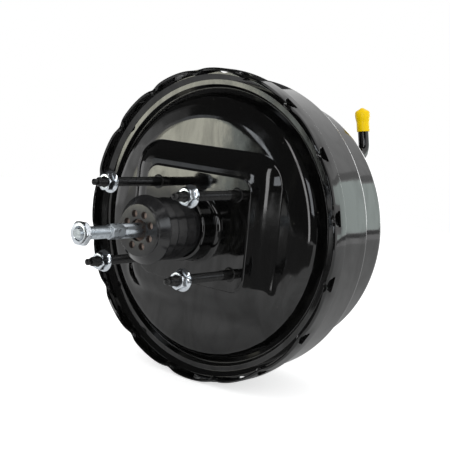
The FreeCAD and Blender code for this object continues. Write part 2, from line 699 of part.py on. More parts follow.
def front_shell():
    body = new_body("front_shell")
    sketch = profile_sketch(body, "section")
    sheet_outline(sketch, [
        (flange_radius, flange_edge),
        (flange_radius, flange_back, flange_bend),
        (drum_radius, flange_back, flange_bend / 3),
        (drum_radius, drum_front, drum_bend),
        (nose_radius, drum_front, flange_bend / 2),
        (nose_radius, nose_front, nose_bend),
        (recess_radius, nose_front, recess_bend + shell_wall),
        (recess_floor_radius, recess_plane, recess_bend),
        (front_bore, recess_plane, collar_bend),
        (front_bore, recess_plane - front_collar),
    ], shell_wall)
    spin(body, sketch, "pressed")
    cut_crimps(body)
    cut_front_holes(body)
    return body


def cut_crimps(body):
    """Windows, dips and relief slots of the crimped flange, and the tongues behind the windows."""
    outside = flange_radius + overcut
    inside = flange_inner_radius - overcut
    tongue_end = rim_plane - seat_gap
    window_edge = tongue_end - crimp_depth
    window = cross_sketch(body, "window", window_edge)
    radial_block(window, crimp_turn, inside, outside, crimp_width)
    window_cut = cut_along(body, window, "window_cut", crimp_depth)
    dip = cross_sketch(body, "dip", flange_edge - overcut)
    radial_block(dip, crimp_turn, inside, outside, crimp_width)
    dip_cut = cut_along(body, dip, "dip_cut", notch_depth + overcut)
    tongue = cross_sketch(body, "tongue", window_edge - tongue_root)
    reach = flange_inner_radius - tongue_reach
    radial_block(tongue, crimp_turn, reach, flange_inner_radius + tongue_bite, tongue_width)
    tongue_pad = grow(body, tongue, "tongue_pad", crimp_depth + tongue_root)
    relief = cross_sketch(body, "relief", flange_back - shell_wall - flange_bend)
    middle = crimp_turn + 180 / crimp_count
    relief_outer = flange_inner_radius - seat_gap
    radial_block(relief, middle, relief_outer - relief_height, relief_outer, relief_width)
    relief_cut = cut_along(body, relief, "relief_cut", shell_wall + flange_bend + overcut)
    repeat_round(body, [window_cut, dip_cut, tongue_pad, relief_cut], "crimps", crimp_count)


def cut_front_holes(body):
    """Holes of the vacuum pipe and of the master cylinder's studs."""
    pipe_hole = cross_sketch(body, "pipe_hole", nose_front + overcut)
    circle(pipe_hole, pipe_side, pipe_rise, pipe_radius + slide_gap)
    cut_along(body, pipe_hole, "pipe_hole_cut", shell_wall + overcut * 2, False)
    stud_holes = cross_sketch(body, "stud_holes", recess_plane + overcut)
    for side in (-1, 1):
        circle(stud_holes, side * master_spacing / 2, 0, stud_knurl_radius + seat_gap)
    cut_along(body, stud_holes, "stud_holes_cut", shell_wall + overcut * 2, False)


def frustum_sketches(body, name, rear, front, half_width, half_height, corner, growth):
    """Two rounded rectangles: the second is larger by growth all round."""
    small = cross_sketch(body, name + "_small", rear)
    centred_rectangle(small, half_width, half_height, corner)
    large = cross_sketch(body, name + "_large", front)
    centred_rectangle(large, half_width + growth, half_height + growth, corner + growth)
    return small, large


def rear_shell():
    body = new_body("rear_shell")
    sketch = profile_sketch(body, "section")
    sheet_outline(sketch, [
        (0, platform_plane),
        (platform_radius, platform_plane, platform_bend),
        (dish_radius, dish_plane, dish_bend),
        (groove_inner_radius, groove_plane, groove_bend),
        (groove_outer_radius, groove_plane, groove_bend),
        (rim_start_radius, rim_plane, rim_bend),
        (rim_radius, rim_plane),
    ], shell_wall)
    spin(body, sketch, "pressed")
    raise_boss_and_pad(body)
    neck = profile_sketch(body, "neck")
    sheet_outline(neck, [
        (neck_lip_radius, -neck_length),
        (neck_radius, -neck_length, lip_bend),
        (neck_radius, 0, neck_bend),
        (neck_radius + neck_bend + shell_wall, 0),
    ], shell_wall)
    spin(body, neck, "neck_pressed")
    stud_holes = cross_sketch(body, "stud_holes", -overcut)
    for side in (-1, 1):
        for level in (-1, 1):
            circle(stud_holes, side * stud_spacing_x / 2, level * stud_spacing_z / 2,
                   stud_collar_radius + slide_gap)
    cut_along(body, stud_holes, "stud_holes_cut", shell_wall + overcut * 2)
    return body


def raise_boss_and_pad(body):
    """Raises the boss with its 45 degree walls and the pad on it, and hollows both."""
    rise = platform_plane - boss_top_plane
    width = boss_half_width - rise
    height = boss_half_height - rise
    depth = rise + shell_wall
    small, large = frustum_sketches(body, "boss", boss_top_plane, boss_top_plane + depth,
                                    width, height, boss_corner, depth)
    loft(body, small, large, "boss_solid")
    small, large = frustum_sketches(body, "pad", 0, boss_top_plane,
                                    pad_half_width, pad_half_height, pad_corner, pad_slope)
    loft(body, small, large, "pad_solid")
    floor = boss_top_plane + shell_wall
    depth = rise + overcut
    shrink = shell_wall * flare
    small, large = frustum_sketches(body, "boss_inside", floor, floor + depth,
                                    width - shrink, height - shrink, boss_corner - shrink, depth)
    loft(body, small, large, "boss_inside_cut", "PartDesign::SubtractiveLoft")
    shrink = shell_wall / 2
    small, large = frustum_sketches(body, "pad_inside", shell_wall, floor,
                                    pad_half_width - shrink, pad_half_height - shrink,
                                    pad_corner - shrink, pad_slope)
    loft(body, small, large, "pad_inside_cut", "PartDesign::SubtractiveLoft")
    bore = cross_sketch(body, "bore", -overcut)
    circle(bore, 0, 0, neck_radius + neck_bend)
    cut_along(body, bore, "bore_cut", shell_wall + overcut * 2)


def rear_reinforcement():
    body = new_body("rear_reinforcement")
    sketch = cross_sketch(body, "outline", rear_plate_plane)
    centred_rectangle(sketch, pad_half_width - rear_plate_margin, pad_half_height - rear_plate_margin,
                      pad_corner - rear_plate_margin)
    circle(sketch, 0, 0, rear_plate_bore)
    for side in (-1, 1):
        for level in (-1, 1):
            circle(sketch, side * stud_spacing_x / 2, level * stud_spacing_z / 2,
                   stud_knurl_radius + slide_gap)
    grow(body, sketch, "plate", rear_plate_wall)
    return body


def front_reinforcement():
    body = new_body("front_reinforcement")
    sketch = cross_sketch(body, "outline", front_plate_rear)
    centred_rectangle(sketch, front_plate_half_width, front_plate_half_height, front_plate_corner)
    circle(sketch, 0, 0, front_bore + shell_wall + collar_bend)
    for side in (-1, 1):
        circle(sketch, side * master_spacing / 2, 0, stud_knurl_radius + slide_gap)
    grow(body, sketch, "plate", front_plate_wall)
    return body


def mounting_studs():
    body = new_body("mounting_studs")
    place = {"x": stud_spacing_x / 2, "z": stud_spacing_z / 2}
    sketch = profile_sketch(body, "section", place)
    head = rear_plate_front + stud_head_height
    shoulder = stud_length - stud_dog_length
    taper = stud_radius - stud_dog_radius
    shank_end = -(stud_collar_proud + stud_shank_length)
    outline(sketch, [
        (0, head),
        (stud_head_radius, head),
        (stud_head_radius, rear_plate_front),
        (stud_knurl_radius, rear_plate_front),
        (stud_knurl_radius, rear_plate_plane),
        (stud_collar_radius, rear_plate_plane),
        (stud_collar_radius, -stud_collar_proud),
        (stud_shank_radius, -stud_collar_proud),
        (stud_shank_radius, shank_end),
        (stud_radius, shank_end - (stud_shank_radius - stud_radius)),
        (stud_radius, taper - shoulder),
        (stud_dog_radius, -shoulder),
        (stud_dog_radius, stud_dog_radius / 3 - stud_length),
        (stud_dog_radius * 2 / 3, -stud_length),
        (0, -stud_length),
    ])
    stud = spin(body, sketch, "turned")
    repeat_mirrored(body, [stud], "set", ["XY_Plane", "YZ_Plane"])
    return body


def mounting_nuts():
    body = new_body("mounting_nuts")
    x = stud_spacing_x / 2
    z = stud_spacing_z / 2
    seat = -nut_seat_plane
    hexagonal = cross_sketch(body, "hexagon", seat - nut_height)
    hexagon(hexagonal, x, z, nut_hex_flats)
    prism = grow(body, hexagonal, "prism", nut_height)
    flange = profile_sketch(body, "flange", {"x": x, "z": z})
    outline(flange, [
        (0, seat),
        (nut_flange_radius, seat),
        (nut_flange_radius, seat - nut_flange_rim),
        (nut_hex_flats / 2, seat - nut_flange_rim - nut_cone_height),
        (0, seat - nut_flange_rim - nut_cone_height),
    ])
    washer = spin(body, flange, "washer")
    trim = chamfer_cut(body, {"x": x, "z": z}, seat - nut_height, nut_hex_flats)
    bore = cross_sketch(body, "bore", seat - nut_height - overcut)
    circle(bore, x, z, stud_radius + thread_gap)
    hole = cut_along(body, bore, "hole", nut_height + overcut * 2)
    repeat_mirrored(body, [prism, washer, trim, hole], "set", ["XY_Plane", "YZ_Plane"])
    return body


def chamfer_cut(body, place, end, flats):
    """Turns a cone on the outer end of a hexagon, as on every nut."""
    sketch = profile_sketch(body, "chamfer", place)
    corner = as_size(flats) * (hexagon_corner / 2)
    inside = as_size(flats) / 2 - nut_face_inset
    outside = corner + overcut
    outline(sketch, [
        (inside, end),
        (outside, end + nut_chamfer * (outside - inside) / (corner - inside)),
        (outside, end - overcut),
        (inside, end - overcut),
    ])
    return spin(body, sketch, "chamfer_cut", "PartDesign::Groove")


def master_cylinder_studs():
    body = new_body("master_cylinder_studs")
    sketch = profile_sketch(body, "section", {"x": master_spacing / 2})
    head = front_plate_rear - stud_head_height
    end = recess_plane + master_stud_length
    shank_end = recess_plane + stud_shank_length
    outline(sketch, [
        (0, head),
        (master_head_radius, head),
        (master_head_radius, front_plate_rear),
        (stud_knurl_radius, front_plate_rear),
        (stud_knurl_radius, recess_plane),
        (stud_shank_radius, recess_plane),
        (stud_shank_radius, shank_end),
        (stud_radius, shank_end + (stud_shank_radius - stud_radius)),
        (stud_radius, end - edge_break),
        (stud_radius - edge_break, end),
        (0, end),
    ])
    stud = spin(body, sketch, "turned")
    repeat_mirrored(body, [stud], "set", ["YZ_Plane"])
    return body


def front_seals():
    front = recess_plane - shell_wall
    rear = recess_plane - front_collar + seal_retainer_wall
    outer = front_bore - seat_gap
    inner = output_radius + slide_gap
    step = rear + front_seal_foot
    lip = output_radius + seal_lip
    round_piece("front_seal", [
        (inner, front - front_seal_length / 2),
        (inner + seal_lip, step),
        (outer, step),
        (outer, front),
        (inner + seal_lip, front),
        (inner, front - seal_lip),
    ])
    round_piece("front_seal_retainer", [
        (lip, rear - seal_retainer_wall),
        (outer, rear - seal_retainer_wall),
        (outer, step - slide_gap),
        (outer - seal_retainer_wall, step - slide_gap),
        (outer - seal_retainer_wall, rear),
        (lip, rear),
    ])


def rear_guides():
    """Bearing, seal and retainer that carry the valve body in the neck."""
    outer = neck_inner_radius - slide_gap / 2
    front = bearing_length - bearing_rear
    ring("rear_bearing", tube_radius + slide_gap, outer, -bearing_rear, front)
    round_piece("rear_seal", [
        (tube_radius + seat_gap, front + seat_gap + seal_lip / 2),
        (tube_radius + seal_lip, front + seat_gap),
        (outer - slide_gap, front + seat_gap),
        (outer - slide_gap, front + seal_length),
        (tube_radius + seat_gap, front + seal_length),
    ])
    collar_rear = front + seal_length + seat_gap
    collar = tube_radius + rear_retainer_gap
    rim = rear_plate_front + slide_gap
    round_piece("rear_seal_retainer", [
        (collar, collar_rear),
        (collar + seal_retainer_wall, collar_rear),
        (collar + seal_retainer_wall, rim),
        (rear_retainer_radius, rim),
        (rear_retainer_radius, rim + seal_retainer_wall),
        (collar, rim + seal_retainer_wall),
    ])


def vacuum_pipe():
    body = new_body("vacuum_pipe")
    path = new_sketch(body, "path", "YZ_Plane")
    draw_pipe_path(path)
    section = cross_sketch(body, "section", -pipe_inset)
    circle(section, 0, 0, pipe_radius)
    tube = body.newObject("PartDesign::AdditivePipe", "vacuum_pipe_tube")
    tube.Profile = section
    tube.Spine = path
    bead = new_sketch(body, "bead", "XZ_Plane", {"z": -(pipe_run + pipe_bend)})
    top = pipe_bend + pipe_leg - pipe_bead_drop
    outline(bead, [
        (0, top - pipe_bead_height),
        (pipe_radius, top - pipe_bead_height),
        (pipe_bead_radius, top - pipe_bead_height + pipe_bead_slope),
        (pipe_bead_radius, top - pipe_bead_slope),
        (pipe_radius, top),
        (0, top),
    ])
    spin(body, bead, "bead_turned")
    hollow_section = cross_sketch(body, "hollow_section", -pipe_inset)
    circle(hollow_section, 0, 0, pipe_bore)
    hollow = body.newObject("PartDesign::SubtractivePipe", "vacuum_pipe_hollow")
    hollow.Profile = hollow_section
    hollow.Spine = path
    path.Visibility = False
    place_on_pipe(body)
    return body


def draw_pipe_path(path):
    """Straight out of the shell, round one bend and up: x is Y and y is Z."""
    start = FreeCAD.Vector(-pipe_inset.value, 0, 0)
    corner = FreeCAD.Vector(pipe_run.value + pipe_bend.value, 0, 0)
    end = FreeCAD.Vector(corner.x, pipe_bend.value + pipe_leg.value, 0)
    lines, arcs = draw_chain(path, [start, corner, end], [0, pipe_bend.value, 0], False)
    join_chain(path, lines, arcs, 3, False)
    pin_point(path, lines[0], 1, -pipe_inset, 0)
    pin_point(path, lines[0], 2, pipe_run, 0)
    pin_point(path, lines[1], 2, pipe_run + pipe_bend, pipe_bend + pipe_leg)
    path.addConstraint(Sketcher.Constraint("Vertical", lines[1]))


def place_on_pipe(body):
    """Moves a piece from the pipe's own frame to the pipe's root, with its lean."""
    body.Placement.Rotation = FreeCAD.Rotation(FreeCAD.Vector(0, -1, 0), pipe_lean.value)
    body.setExpression("Placement.Rotation.Angle", pipe_lean.text)
    place_body(body, pipe_side, nose_front, pipe_rise)


def vacuum_pipe_collar():
    body = new_body("vacuum_pipe_collar")
    sketch = profile_sketch(body, "section")
    inner = pipe_radius + thread_gap
    outline(sketch, [
        (inner, 0),
        (pipe_collar_radius, 0),
        (pipe_collar_radius, pipe_collar_height / 2),
        (inner + pipe_collar_height / 2, pipe_collar_height),
        (inner, pipe_collar_height),
    ])
    spin(body, sketch, "turned")
    place_on_pipe(body)
    return body


def vacuum_cap():
    body = new_body("vacuum_cap")
    sketch = new_sketch(body, "section", "XZ_Plane", {"z": -(pipe_run + pipe_bend)})
    pipe_top = pipe_bend + pipe_leg
    ceiling = pipe_top + seat_gap
    crown = ceiling + cap_crown_wall
    mouth = crown - cap_length
    bore = pipe_bead_radius + slide_gap
    bulge_low = pipe_top - cap_bulge_drop
    outline(sketch, [
        (bore, mouth),
        (bore + cap_wall, mouth),
        (bore + cap_wall, bulge_low - cap_slope),
        (cap_bulge_radius, bulge_low),
        (cap_bulge_radius, crown - cap_shoulder),
        (cap_bulge_radius - cap_shoulder, crown),
        (cap_tip_radius, crown),
        (cap_tip_radius / 2, crown + cap_tip_height),
        (0, crown + cap_tip_height),
        (0, ceiling),
        (bore, ceiling),
    ])
    spin(body, sketch, "moulded")
    place_on_pipe(body)
    return body


def valve_body():
    body = new_body("valve_body")
    sketch = profile_sketch(body, "section")
    piston_front = piston_flange_plane + piston_flange_wall
    bore = plunger_radius + slide_gap
    seat_floor = seat_height - seat_plane
    pocket = plunger_flange_radius + plunger_pocket_gap
    pocket_floor = seat_floor + plunger_pocket_depth
    outline(sketch, [
        (tube_bore, -tail_plane),
        (tube_radius, -tail_plane),
        (tube_radius, piston_flange_plane),
        (piston_flange_radius, piston_flange_plane),
        (piston_flange_radius, piston_front),
        (hub_radius, piston_front),
        (hub_radius, hub_front),
        (disc_bay_radius, hub_front),
        (disc_bay_radius, disc_bay_floor),
        (bore, disc_bay_floor),
        (bore, pocket_floor),
        (pocket, pocket_floor),
        (pocket, seat_floor),
        (vacuum_seat_inner, -seat_plane),
        (vacuum_seat_outer, -seat_plane),
        (vacuum_seat_outer, seat_floor),
        (poppet_bay_radius, seat_floor),
        (poppet_bay_radius, -bay_floor_plane),
        (tube_bore, -bay_floor_plane),
    ])
    spin(body, sketch, "moulded")
    slot = new_sketch(body, "key_slot", "XZ_Plane", {"z": -(key_plane - slide_gap)})
    rectangle(slot, -key_width / 2 - slide_gap, 0, key_width / 2 + slide_gap, tube_radius + overcut)
    cut_along(body, slot, "key_slot_cut", key_wall + slide_gap * 2)
    duct = cross_sketch(body, "duct", seat_floor - overcut)
    circle(duct, 0, -(vacuum_seat_outer + poppet_bay_radius) / 2, duct_radius)
    cut_along(body, duct, "duct_cut", hub_front + seat_plane)
    return body


def stop_key():
    body = new_body("stop_key")
    sketch = cross_sketch(body, "outline", key_plane)
    slot = key_groove_radius + slide_gap
    half = key_width / 2
    bottom = -key_leg_drop
    outline(sketch, [
        (-half, bottom),
        (-slot, bottom),
        (-slot, slot),
        (slot, slot),
        (slot, bottom),
        (half, bottom),
        (half, key_reach),
        (-half, key_reach),
    ])
    grow(body, sketch, "plate", key_wall)
    return body


def air_valve():
    body = new_body("air_valve")
    sketch = profile_sketch(body, "section")
    socket = ball_radius + slide_gap
    rear = -seat_plane
    mouth = rod_neck_radius + rod_mouth_gap
    groove_rear = key_plane - valve_travel - slide_gap
    groove_front = key_plane + key_wall + slide_gap
    nose = disc_bay_floor + seat_gap - nose_gap - valve_travel
    outline(sketch, [
        (mouth, rear),
        (plunger_flange_radius, rear),
        (plunger_flange_radius, rear + plunger_flange_wall),
        (plunger_radius, rear + plunger_flange_wall),
        (plunger_radius, groove_rear),
        (key_groove_radius, groove_rear),
        (key_groove_radius, groove_front),
        (plunger_radius, groove_front),
        (plunger_radius, nose),
        (0, nose),
        (0, ball_plane),
        (socket, ball_plane),
        (socket, rear + plunger_flange_wall),
        (mouth, rear + plunger_flange_wall / 2),
    ])
    spin(body, sketch, "turned")
    ball = profile_sketch(body, "socket")
    draw_half_disc(ball, ball_plane, socket)
    spin(body, ball, "socket_cut", "PartDesign::Groove")
    return body


def draw_half_disc(sketch, centre, radius):
    """Half of a round section, for a ball on the axis."""
    middle = FreeCAD.Vector(0, centre.value, 0)
    whole = Part.Circle(middle, FreeCAD.Vector(0, 0, 1), radius.value)
    arc = sketch.addGeometry(Part.ArcOfCircle(whole, -math.pi / 2, math.pi / 2))
    low = FreeCAD.Vector(0, centre.value - radius.value, 0)
    high = FreeCAD.Vector(0, centre.value + radius.value, 0)
    line = sketch.addGeometry(Part.LineSegment(high, low))
    sketch.addConstraint(Sketcher.Constraint("Coincident", arc, 2, line, 1))
    sketch.addConstraint(Sketcher.Constraint("Coincident", line, 2, arc, 1))
    pin_point(sketch, arc, 3, 0, centre)
    sketch.addConstraint(Sketcher.Constraint("PointOnObject", arc, 3, line))
    sketch.addConstraint(Sketcher.Constraint("Vertical", line))
    bind(sketch, Sketcher.Constraint("Radius", arc, radius.value), radius.text)


def pushrod():
    body = new_body("pushrod")
    sketch = profile_sketch(body, "section")
    inner = rod_neck_length - ball_plane
    thread_start = rod_hex_end + rod_shank_radius - rod_thread_radius
    outline(sketch, [
        (0, ball_plane),
        (rod_neck_radius, ball_plane),
        (rod_neck_radius, -inner),
        (rod_stem_radius, -(inner + edge_break)),
        (rod_stem_radius, -rod_shoulder_plane),
        (rod_shank_radius, -rod_shoulder_plane),
        (rod_shank_radius, -thread_start),
        (rod_thread_radius, -thread_start),
        (rod_thread_radius, rod_end_chamfer - rod_end),
        (rod_thread_radius - rod_end_chamfer, -rod_end),
        (0, -rod_end),
    ])
    spin(body, sketch, "turned")
    ball = profile_sketch(body, "ball")
    draw_half_disc(ball, ball_plane, ball_radius)
    spin(body, ball, "ball_turned")
    outside = cross_sketch(body, "hexagon", -rod_hex_end)
    circle(outside, 0, 0, rod_shank_radius + overcut)
    hexagon(outside, 0, 0, rod_hex_flats)
    cut_along(body, outside, "hexagon_cut", rod_hex_end - rod_hex_start)
    return body


def lock_nut():
    body = new_body("lock_nut")
    sketch = cross_sketch(body, "hexagon", -lock_nut_front)
    hexagon(sketch, 0, 0, lock_nut_flats)
    circle(sketch, 0, 0, rod_thread_radius + thread_gap)
    grow(body, sketch, "prism", lock_nut_height)
    chamfer_cut(body, None, -lock_nut_front, lock_nut_flats)
    return body


def rod_spring_seat():
    ring("rod_spring_seat", rod_stem_radius + slide_gap, spring_seat_radius,
         slide_gap - rod_shoulder_plane, slide_gap + spring_seat_wall - rod_shoulder_plane)


def poppet_pieces():
    face = -(seat_plane + seat_gap)
    face_back = face - poppet_face_wall
    sleeve = poppet_coil_radius + poppet_wire + seat_gap * 2
    outer = poppet_bay_radius - seat_gap
    rear = poppet_foot_depth - bay_floor_plane
    foot = rear + poppet_foot_height
    round_piece("poppet_valve", [
        (poppet_lip_radius, face),
        (poppet_lip_radius, face_back),
        (sleeve, face_back),
        (sleeve, foot),
        (sleeve, rear),
        (outer, rear),
        (outer, foot),
        (sleeve + poppet_wall, foot),
        (sleeve + poppet_wall, face_back),
        (vacuum_seat_outer + poppet_face_margin, face_back),
        (vacuum_seat_outer + poppet_face_margin, face),
    ])
    retainer_front = -(bay_floor_plane + slide_gap)
    retainer_rear = retainer_front - poppet_retainer_wall
    boss = poppet_bay_radius - seat_gap
    round_piece("poppet_retainer", [
        (poppet_retainer_bore, retainer_rear),
        (tube_bore - slide_gap, retainer_rear),
        (tube_bore - slide_gap, retainer_front),
        (boss, retainer_front),
        (boss, rear - slide_gap),
        (poppet_retainer_bore, rear - slide_gap),
    ])
    coil("poppet_spring", poppet_coil_radius, poppet_wire, poppet_turns, rear, face_back)
    seat_front = slide_gap + spring_seat_wall - rod_shoulder_plane
    coil("rod_return_spring", rod_coil_radius, rod_wire, rod_turns, seat_front, retainer_rear)


def coil(label, radius, wire, turns, rear, front):
    """A helical spring that fills the room between two seats."""
    start = (rear + wire + seat_gap).value
    rise = (front - rear - 2 * wire - 2 * seat_gap).value
    steps = round(turns.value * coil_steps)
    reach = radius.value / math.cos(math.pi / coil_steps)
    points = []
    for index in range(steps + 1):
        turn = 2 * math.pi * index / coil_steps
        along = start + rise * (index - 0.5) / (steps - 1)
        points.append(FreeCAD.Vector(reach * math.cos(turn), along, reach * math.sin(turn)))
    points[0] = (points[0] + points[1]) / 2
    points[-1] = (points[-2] + points[-1]) / 2
    ring_line = Part.makeCircle(wire.value, points[0], points[1] - points[0])
    spring = doc.addObject("Part::Feature", label)
    spring.Label = label
    spring.Shape = bent_wire(ring_line, points)


def bent_wire(ring_line, points):
    """Round wire led along straight runs and tangent bends near the points."""
    faces = [Part.Face(Part.Wire([ring_line]))]
    last = points[0]
    for before, here, after in zip(points, points[1:], points[2:]):
        inward = (here - before).normalize()
        outward = (after - here).normalize()
        trim = coil_bend_share * max((here - before).Length, (after - here).Length)
        bend = inward.getAngle(outward)
        run = here - inward * trim - last
        faces.append(ring_line.extrude(run))
        ring_line = ring_line.translated(run)
        inner = (outward - inward).normalize()
        centre = here + inner * (trim / math.sin(bend / 2))
        turn_axis = inward.cross(outward)
        faces.append(ring_line.revolve(centre, turn_axis, math.degrees(bend)))
        ring_line = ring_line.rotated(centre, turn_axis, math.degrees(bend))
        last = here + outward * trim
    faces.append(ring_line.extrude(points[-1] - last))
    faces.append(Part.Face(Part.Wire([ring_line.translated(points[-1] - last)])))
    skin = Part.makeCompound(faces)
    skin.sewShape()
    return Part.makeSolid(skin.Shells[0])


def filter_pieces():
    front = filter_length - tail_plane + seat_gap
    outer = tube_bore - seat_gap
    ring("air_filter", filter_bore, outer, seat_gap - tail_plane, front)
    ring("silencer", filter_bore, outer, front + seat_gap, front + seat_gap + silencer_length)


def reaction_pieces():
    disc_rear = disc_bay_floor + seat_gap
    flange_rear = disc_rear + disc_wall + slide_gap
    flange_front = flange_rear + output_flange_wall
    outer = disc_bay_radius - seat_gap
    round_piece("reaction_disc", [
        (0, disc_rear),
        (outer, disc_rear),
        (outer, disc_rear + disc_wall),
        (0, disc_rear + disc_wall),
    ])
    round_piece("output_rod", [
        (0, flange_rear),
        (outer, flange_rear),
        (outer, flange_front),
        (output_radius + output_root, flange_front),
        (output_radius, flange_front + output_root),
        (output_radius, output_end - edge_break),
        (output_radius - edge_break, output_end),
        (adjuster_thread + thread_gap, output_end),
        (adjuster_thread + thread_gap, output_end - adjuster_depth),
        (0, output_end - adjuster_depth),
    ])
    ring("output_rod_retainer", output_retainer_bore, output_retainer_radius,
         hub_front + slide_gap, hub_front + slide_gap + plate_wall)


def output_rod_adjuster():
    body = new_body("output_rod_adjuster")
    head = cross_sketch(body, "hexagon", output_end + slide_gap)
    hexagon(head, 0, 0, adjuster_flats)
    grow(body, head, "head", adjuster_head / 2)
    sketch = profile_sketch(body, "section")
    bottom = output_end - adjuster_depth + edge_break
    middle = output_end + adjuster_head / 2
    top = output_end + slide_gap + adjuster_head
    crown = adjuster_flats / 2 - edge_break
    outline(sketch, [
        (0, bottom),
        (adjuster_thread, bottom),
        (adjuster_thread, middle),
        (crown, middle),
        (crown, top - edge_break),
        (crown - edge_break, top),
        (0, top),
    ])
    spin(body, sketch, "turned")
    return body


def diaphragm_plate():
    pressed_piece("diaphragm_plate", [
        (hub_radius + seat_gap, plate_plane),
        (plate_hub_radius, plate_plane, plate_bend + plate_wall),
        (plate_cone_radius, plate_flat_plane, plate_bend),
        (plate_radius, plate_flat_plane, plate_bend),
        (plate_radius, plate_edge),
    ], plate_wall)


def diaphragm():
    body = new_body("diaphragm")
    sketch = profile_sketch(body, "sheet")
    bead_inner = piston_flange_radius + seat_gap
    seat = flange_back - shell_wall - seat_gap
    leg = drum_inner_radius - seat_gap
    side = plate_radius + seat_gap
    face = plate_flat_plane - seat_gap
    bead_outer = flange_inner_radius - (flange_bend - shell_wall) - seat_gap
    sheet_outline(sketch, [
        (bead_outer, seat),
        (leg, seat, bead_bend),
        (leg, rubber_top, rubber_bend),
        (side, rubber_top, rubber_bend),
        (side, face, plate_bend + seat_gap),
        (plate_cone_radius, face, plate_bend),
        (plate_hub_radius, plate_plane - seat_gap, plate_bend + rubber_wall),
        (bead_inner, plate_plane - seat_gap),
    ], rubber_wall)
    spin(body, sketch, "moulded")
    inner = profile_sketch(body, "inner_bead")
    bead_top = plate_plane - seat_gap
    rectangle(inner, bead_inner, bead_top - inner_bead_height, bead_inner + inner_bead_width, bead_top)
    spin(body, inner, "inner_bead_moulded")
    outer = profile_sketch(body, "outer_bead")
    rectangle(outer, leg + bead_bend, rim_plane + shell_wall + seat_gap, bead_outer, seat)
    spin(body, outer, "outer_bead_moulded")
    return body


def plate_retainer():
    ring("plate_retainer", hub_radius + slide_gap, return_coil_radius - return_wire - seat_gap,
         plate_front + slide_gap, plate_front + slide_gap + plate_wall)


def return_spring():
    coil("return_spring", return_coil_radius, return_wire, return_turns, plate_front,
         front_plate_rear)


def dust_boot():
    body = new_body("dust_boot")
    sketch = profile_sketch(body, "section")
    face = -boot_face_plane
    band = -boot_band_plane
    outer = [
        (boot_hole_radius, face),
        (boot_face_radius - boot_bevel, face),
        (boot_face_radius, face + boot_bevel),
        (boot_face_radius, face + boot_bevel * 2),
        (boot_band_radius, band - boot_fold_drop),
        (boot_band_radius, band),
        (boot_valley_radius, band + boot_fold_drop),
    ]
    inner = [
        (boot_band_radius - boot_wall, band - boot_fold_drop),
        (tube_radius + seat_gap, band + boot_fold_drop),
    ]
    for index in range(boot_fold_count):
        crest = band + boot_fold_pitch * (index + 1)
        outer.append((boot_crest_radius, crest))
        outer.append((boot_crest_radius, crest + boot_crest_land))
        outer.append((boot_valley_radius, crest + boot_crest_land + boot_fold_drop))
        inner.append((boot_crest_radius - boot_wall, crest))
        inner.append((tube_radius + seat_gap, crest + boot_crest_land + boot_fold_drop))
    lip = -neck_length
    groove = neck_lip_radius - seat_gap
    bead_rear = shell_wall + seat_gap - neck_length
    outer += [
        (boot_valley_radius, lip - seat_gap),
        (groove, lip - seat_gap),
        (groove, bead_rear),
        (neck_inner_radius - seat_gap, bead_rear),
        (neck_inner_radius - seat_gap, bead_rear + boot_bead_length),
        (tube_radius + seat_gap, bead_rear + boot_bead_length),
    ]
    rear_inner = [
        (tube_radius + seat_gap, seat_gap - tail_plane - boot_fold_drop),
        (boot_hole_radius, face + boot_face_wall),
    ]
    outline(sketch, outer + inner[::-1] + rear_inner)
    spin(body, sketch, "moulded")
    hole = cross_sketch(body, "breather", face - overcut)
    circle(hole, breather_circle * cosine(breather_turn), breather_circle * sine(breather_turn),
           breather_radius)
    cut = cut_along(body, hole, "breather_cut", boot_face_wall + overcut * 2)
    repeat_round(body, [cut], "breathers", breather_count)
    return body


def build():
    front_shell()
    rear_shell()
    rear_reinforcement()
    front_reinforcement()
    mounting_studs()
    mounting_nuts()
    master_cylinder_studs()
    front_seals()
    rear_guides()
    vacuum_pipe()
    vacuum_pipe_collar()
    vacuum_cap()
    valve_body()
    stop_key()
    air_valve()
    pushrod()
    lock_nut()
    rod_spring_seat()
    poppet_pieces()
    filter_pieces()
    reaction_pieces()
    output_rod_adjuster()
    diaphragm_plate()
    diaphragm()
    plate_retainer()
    return_spring()
    dust_boot()


def check_and_write():
    doc.recompute()
    faults = []
    for item in doc.Objects:
        if "Invalid" in item.State or "Error" in item.State:
            faults.append(item.Label + ": " + item.getStatusString())
    pieces = [item for item in doc.Objects if item.TypeId in ("PartDesign::Body", "Part::Feature")]
    for piece in pieces:
        if piece.Shape.isNull() or not piece.Shape.isValid():
            faults.append(piece.Label + ": shape is not valid")
    if faults:
        raise RuntimeError("; ".join(faults))
    for piece in pieces:
        piece.Shape.exportStep("parts/" + piece.Label + ".step")
        box = piece.Shape.BoundBox
        print(piece.Label, len(piece.Shape.Solids), "solids, volume %.0f," % piece.Shape.Volume,
              "y %.1f to %.1f" % (box.YMin, box.YMax), "x %.1f" % box.XMax, "z %.1f" % box.ZMax)


build()
check_and_write()
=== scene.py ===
import json
import math
import bpy
import bmesh
from mathutils import Matrix, Vector


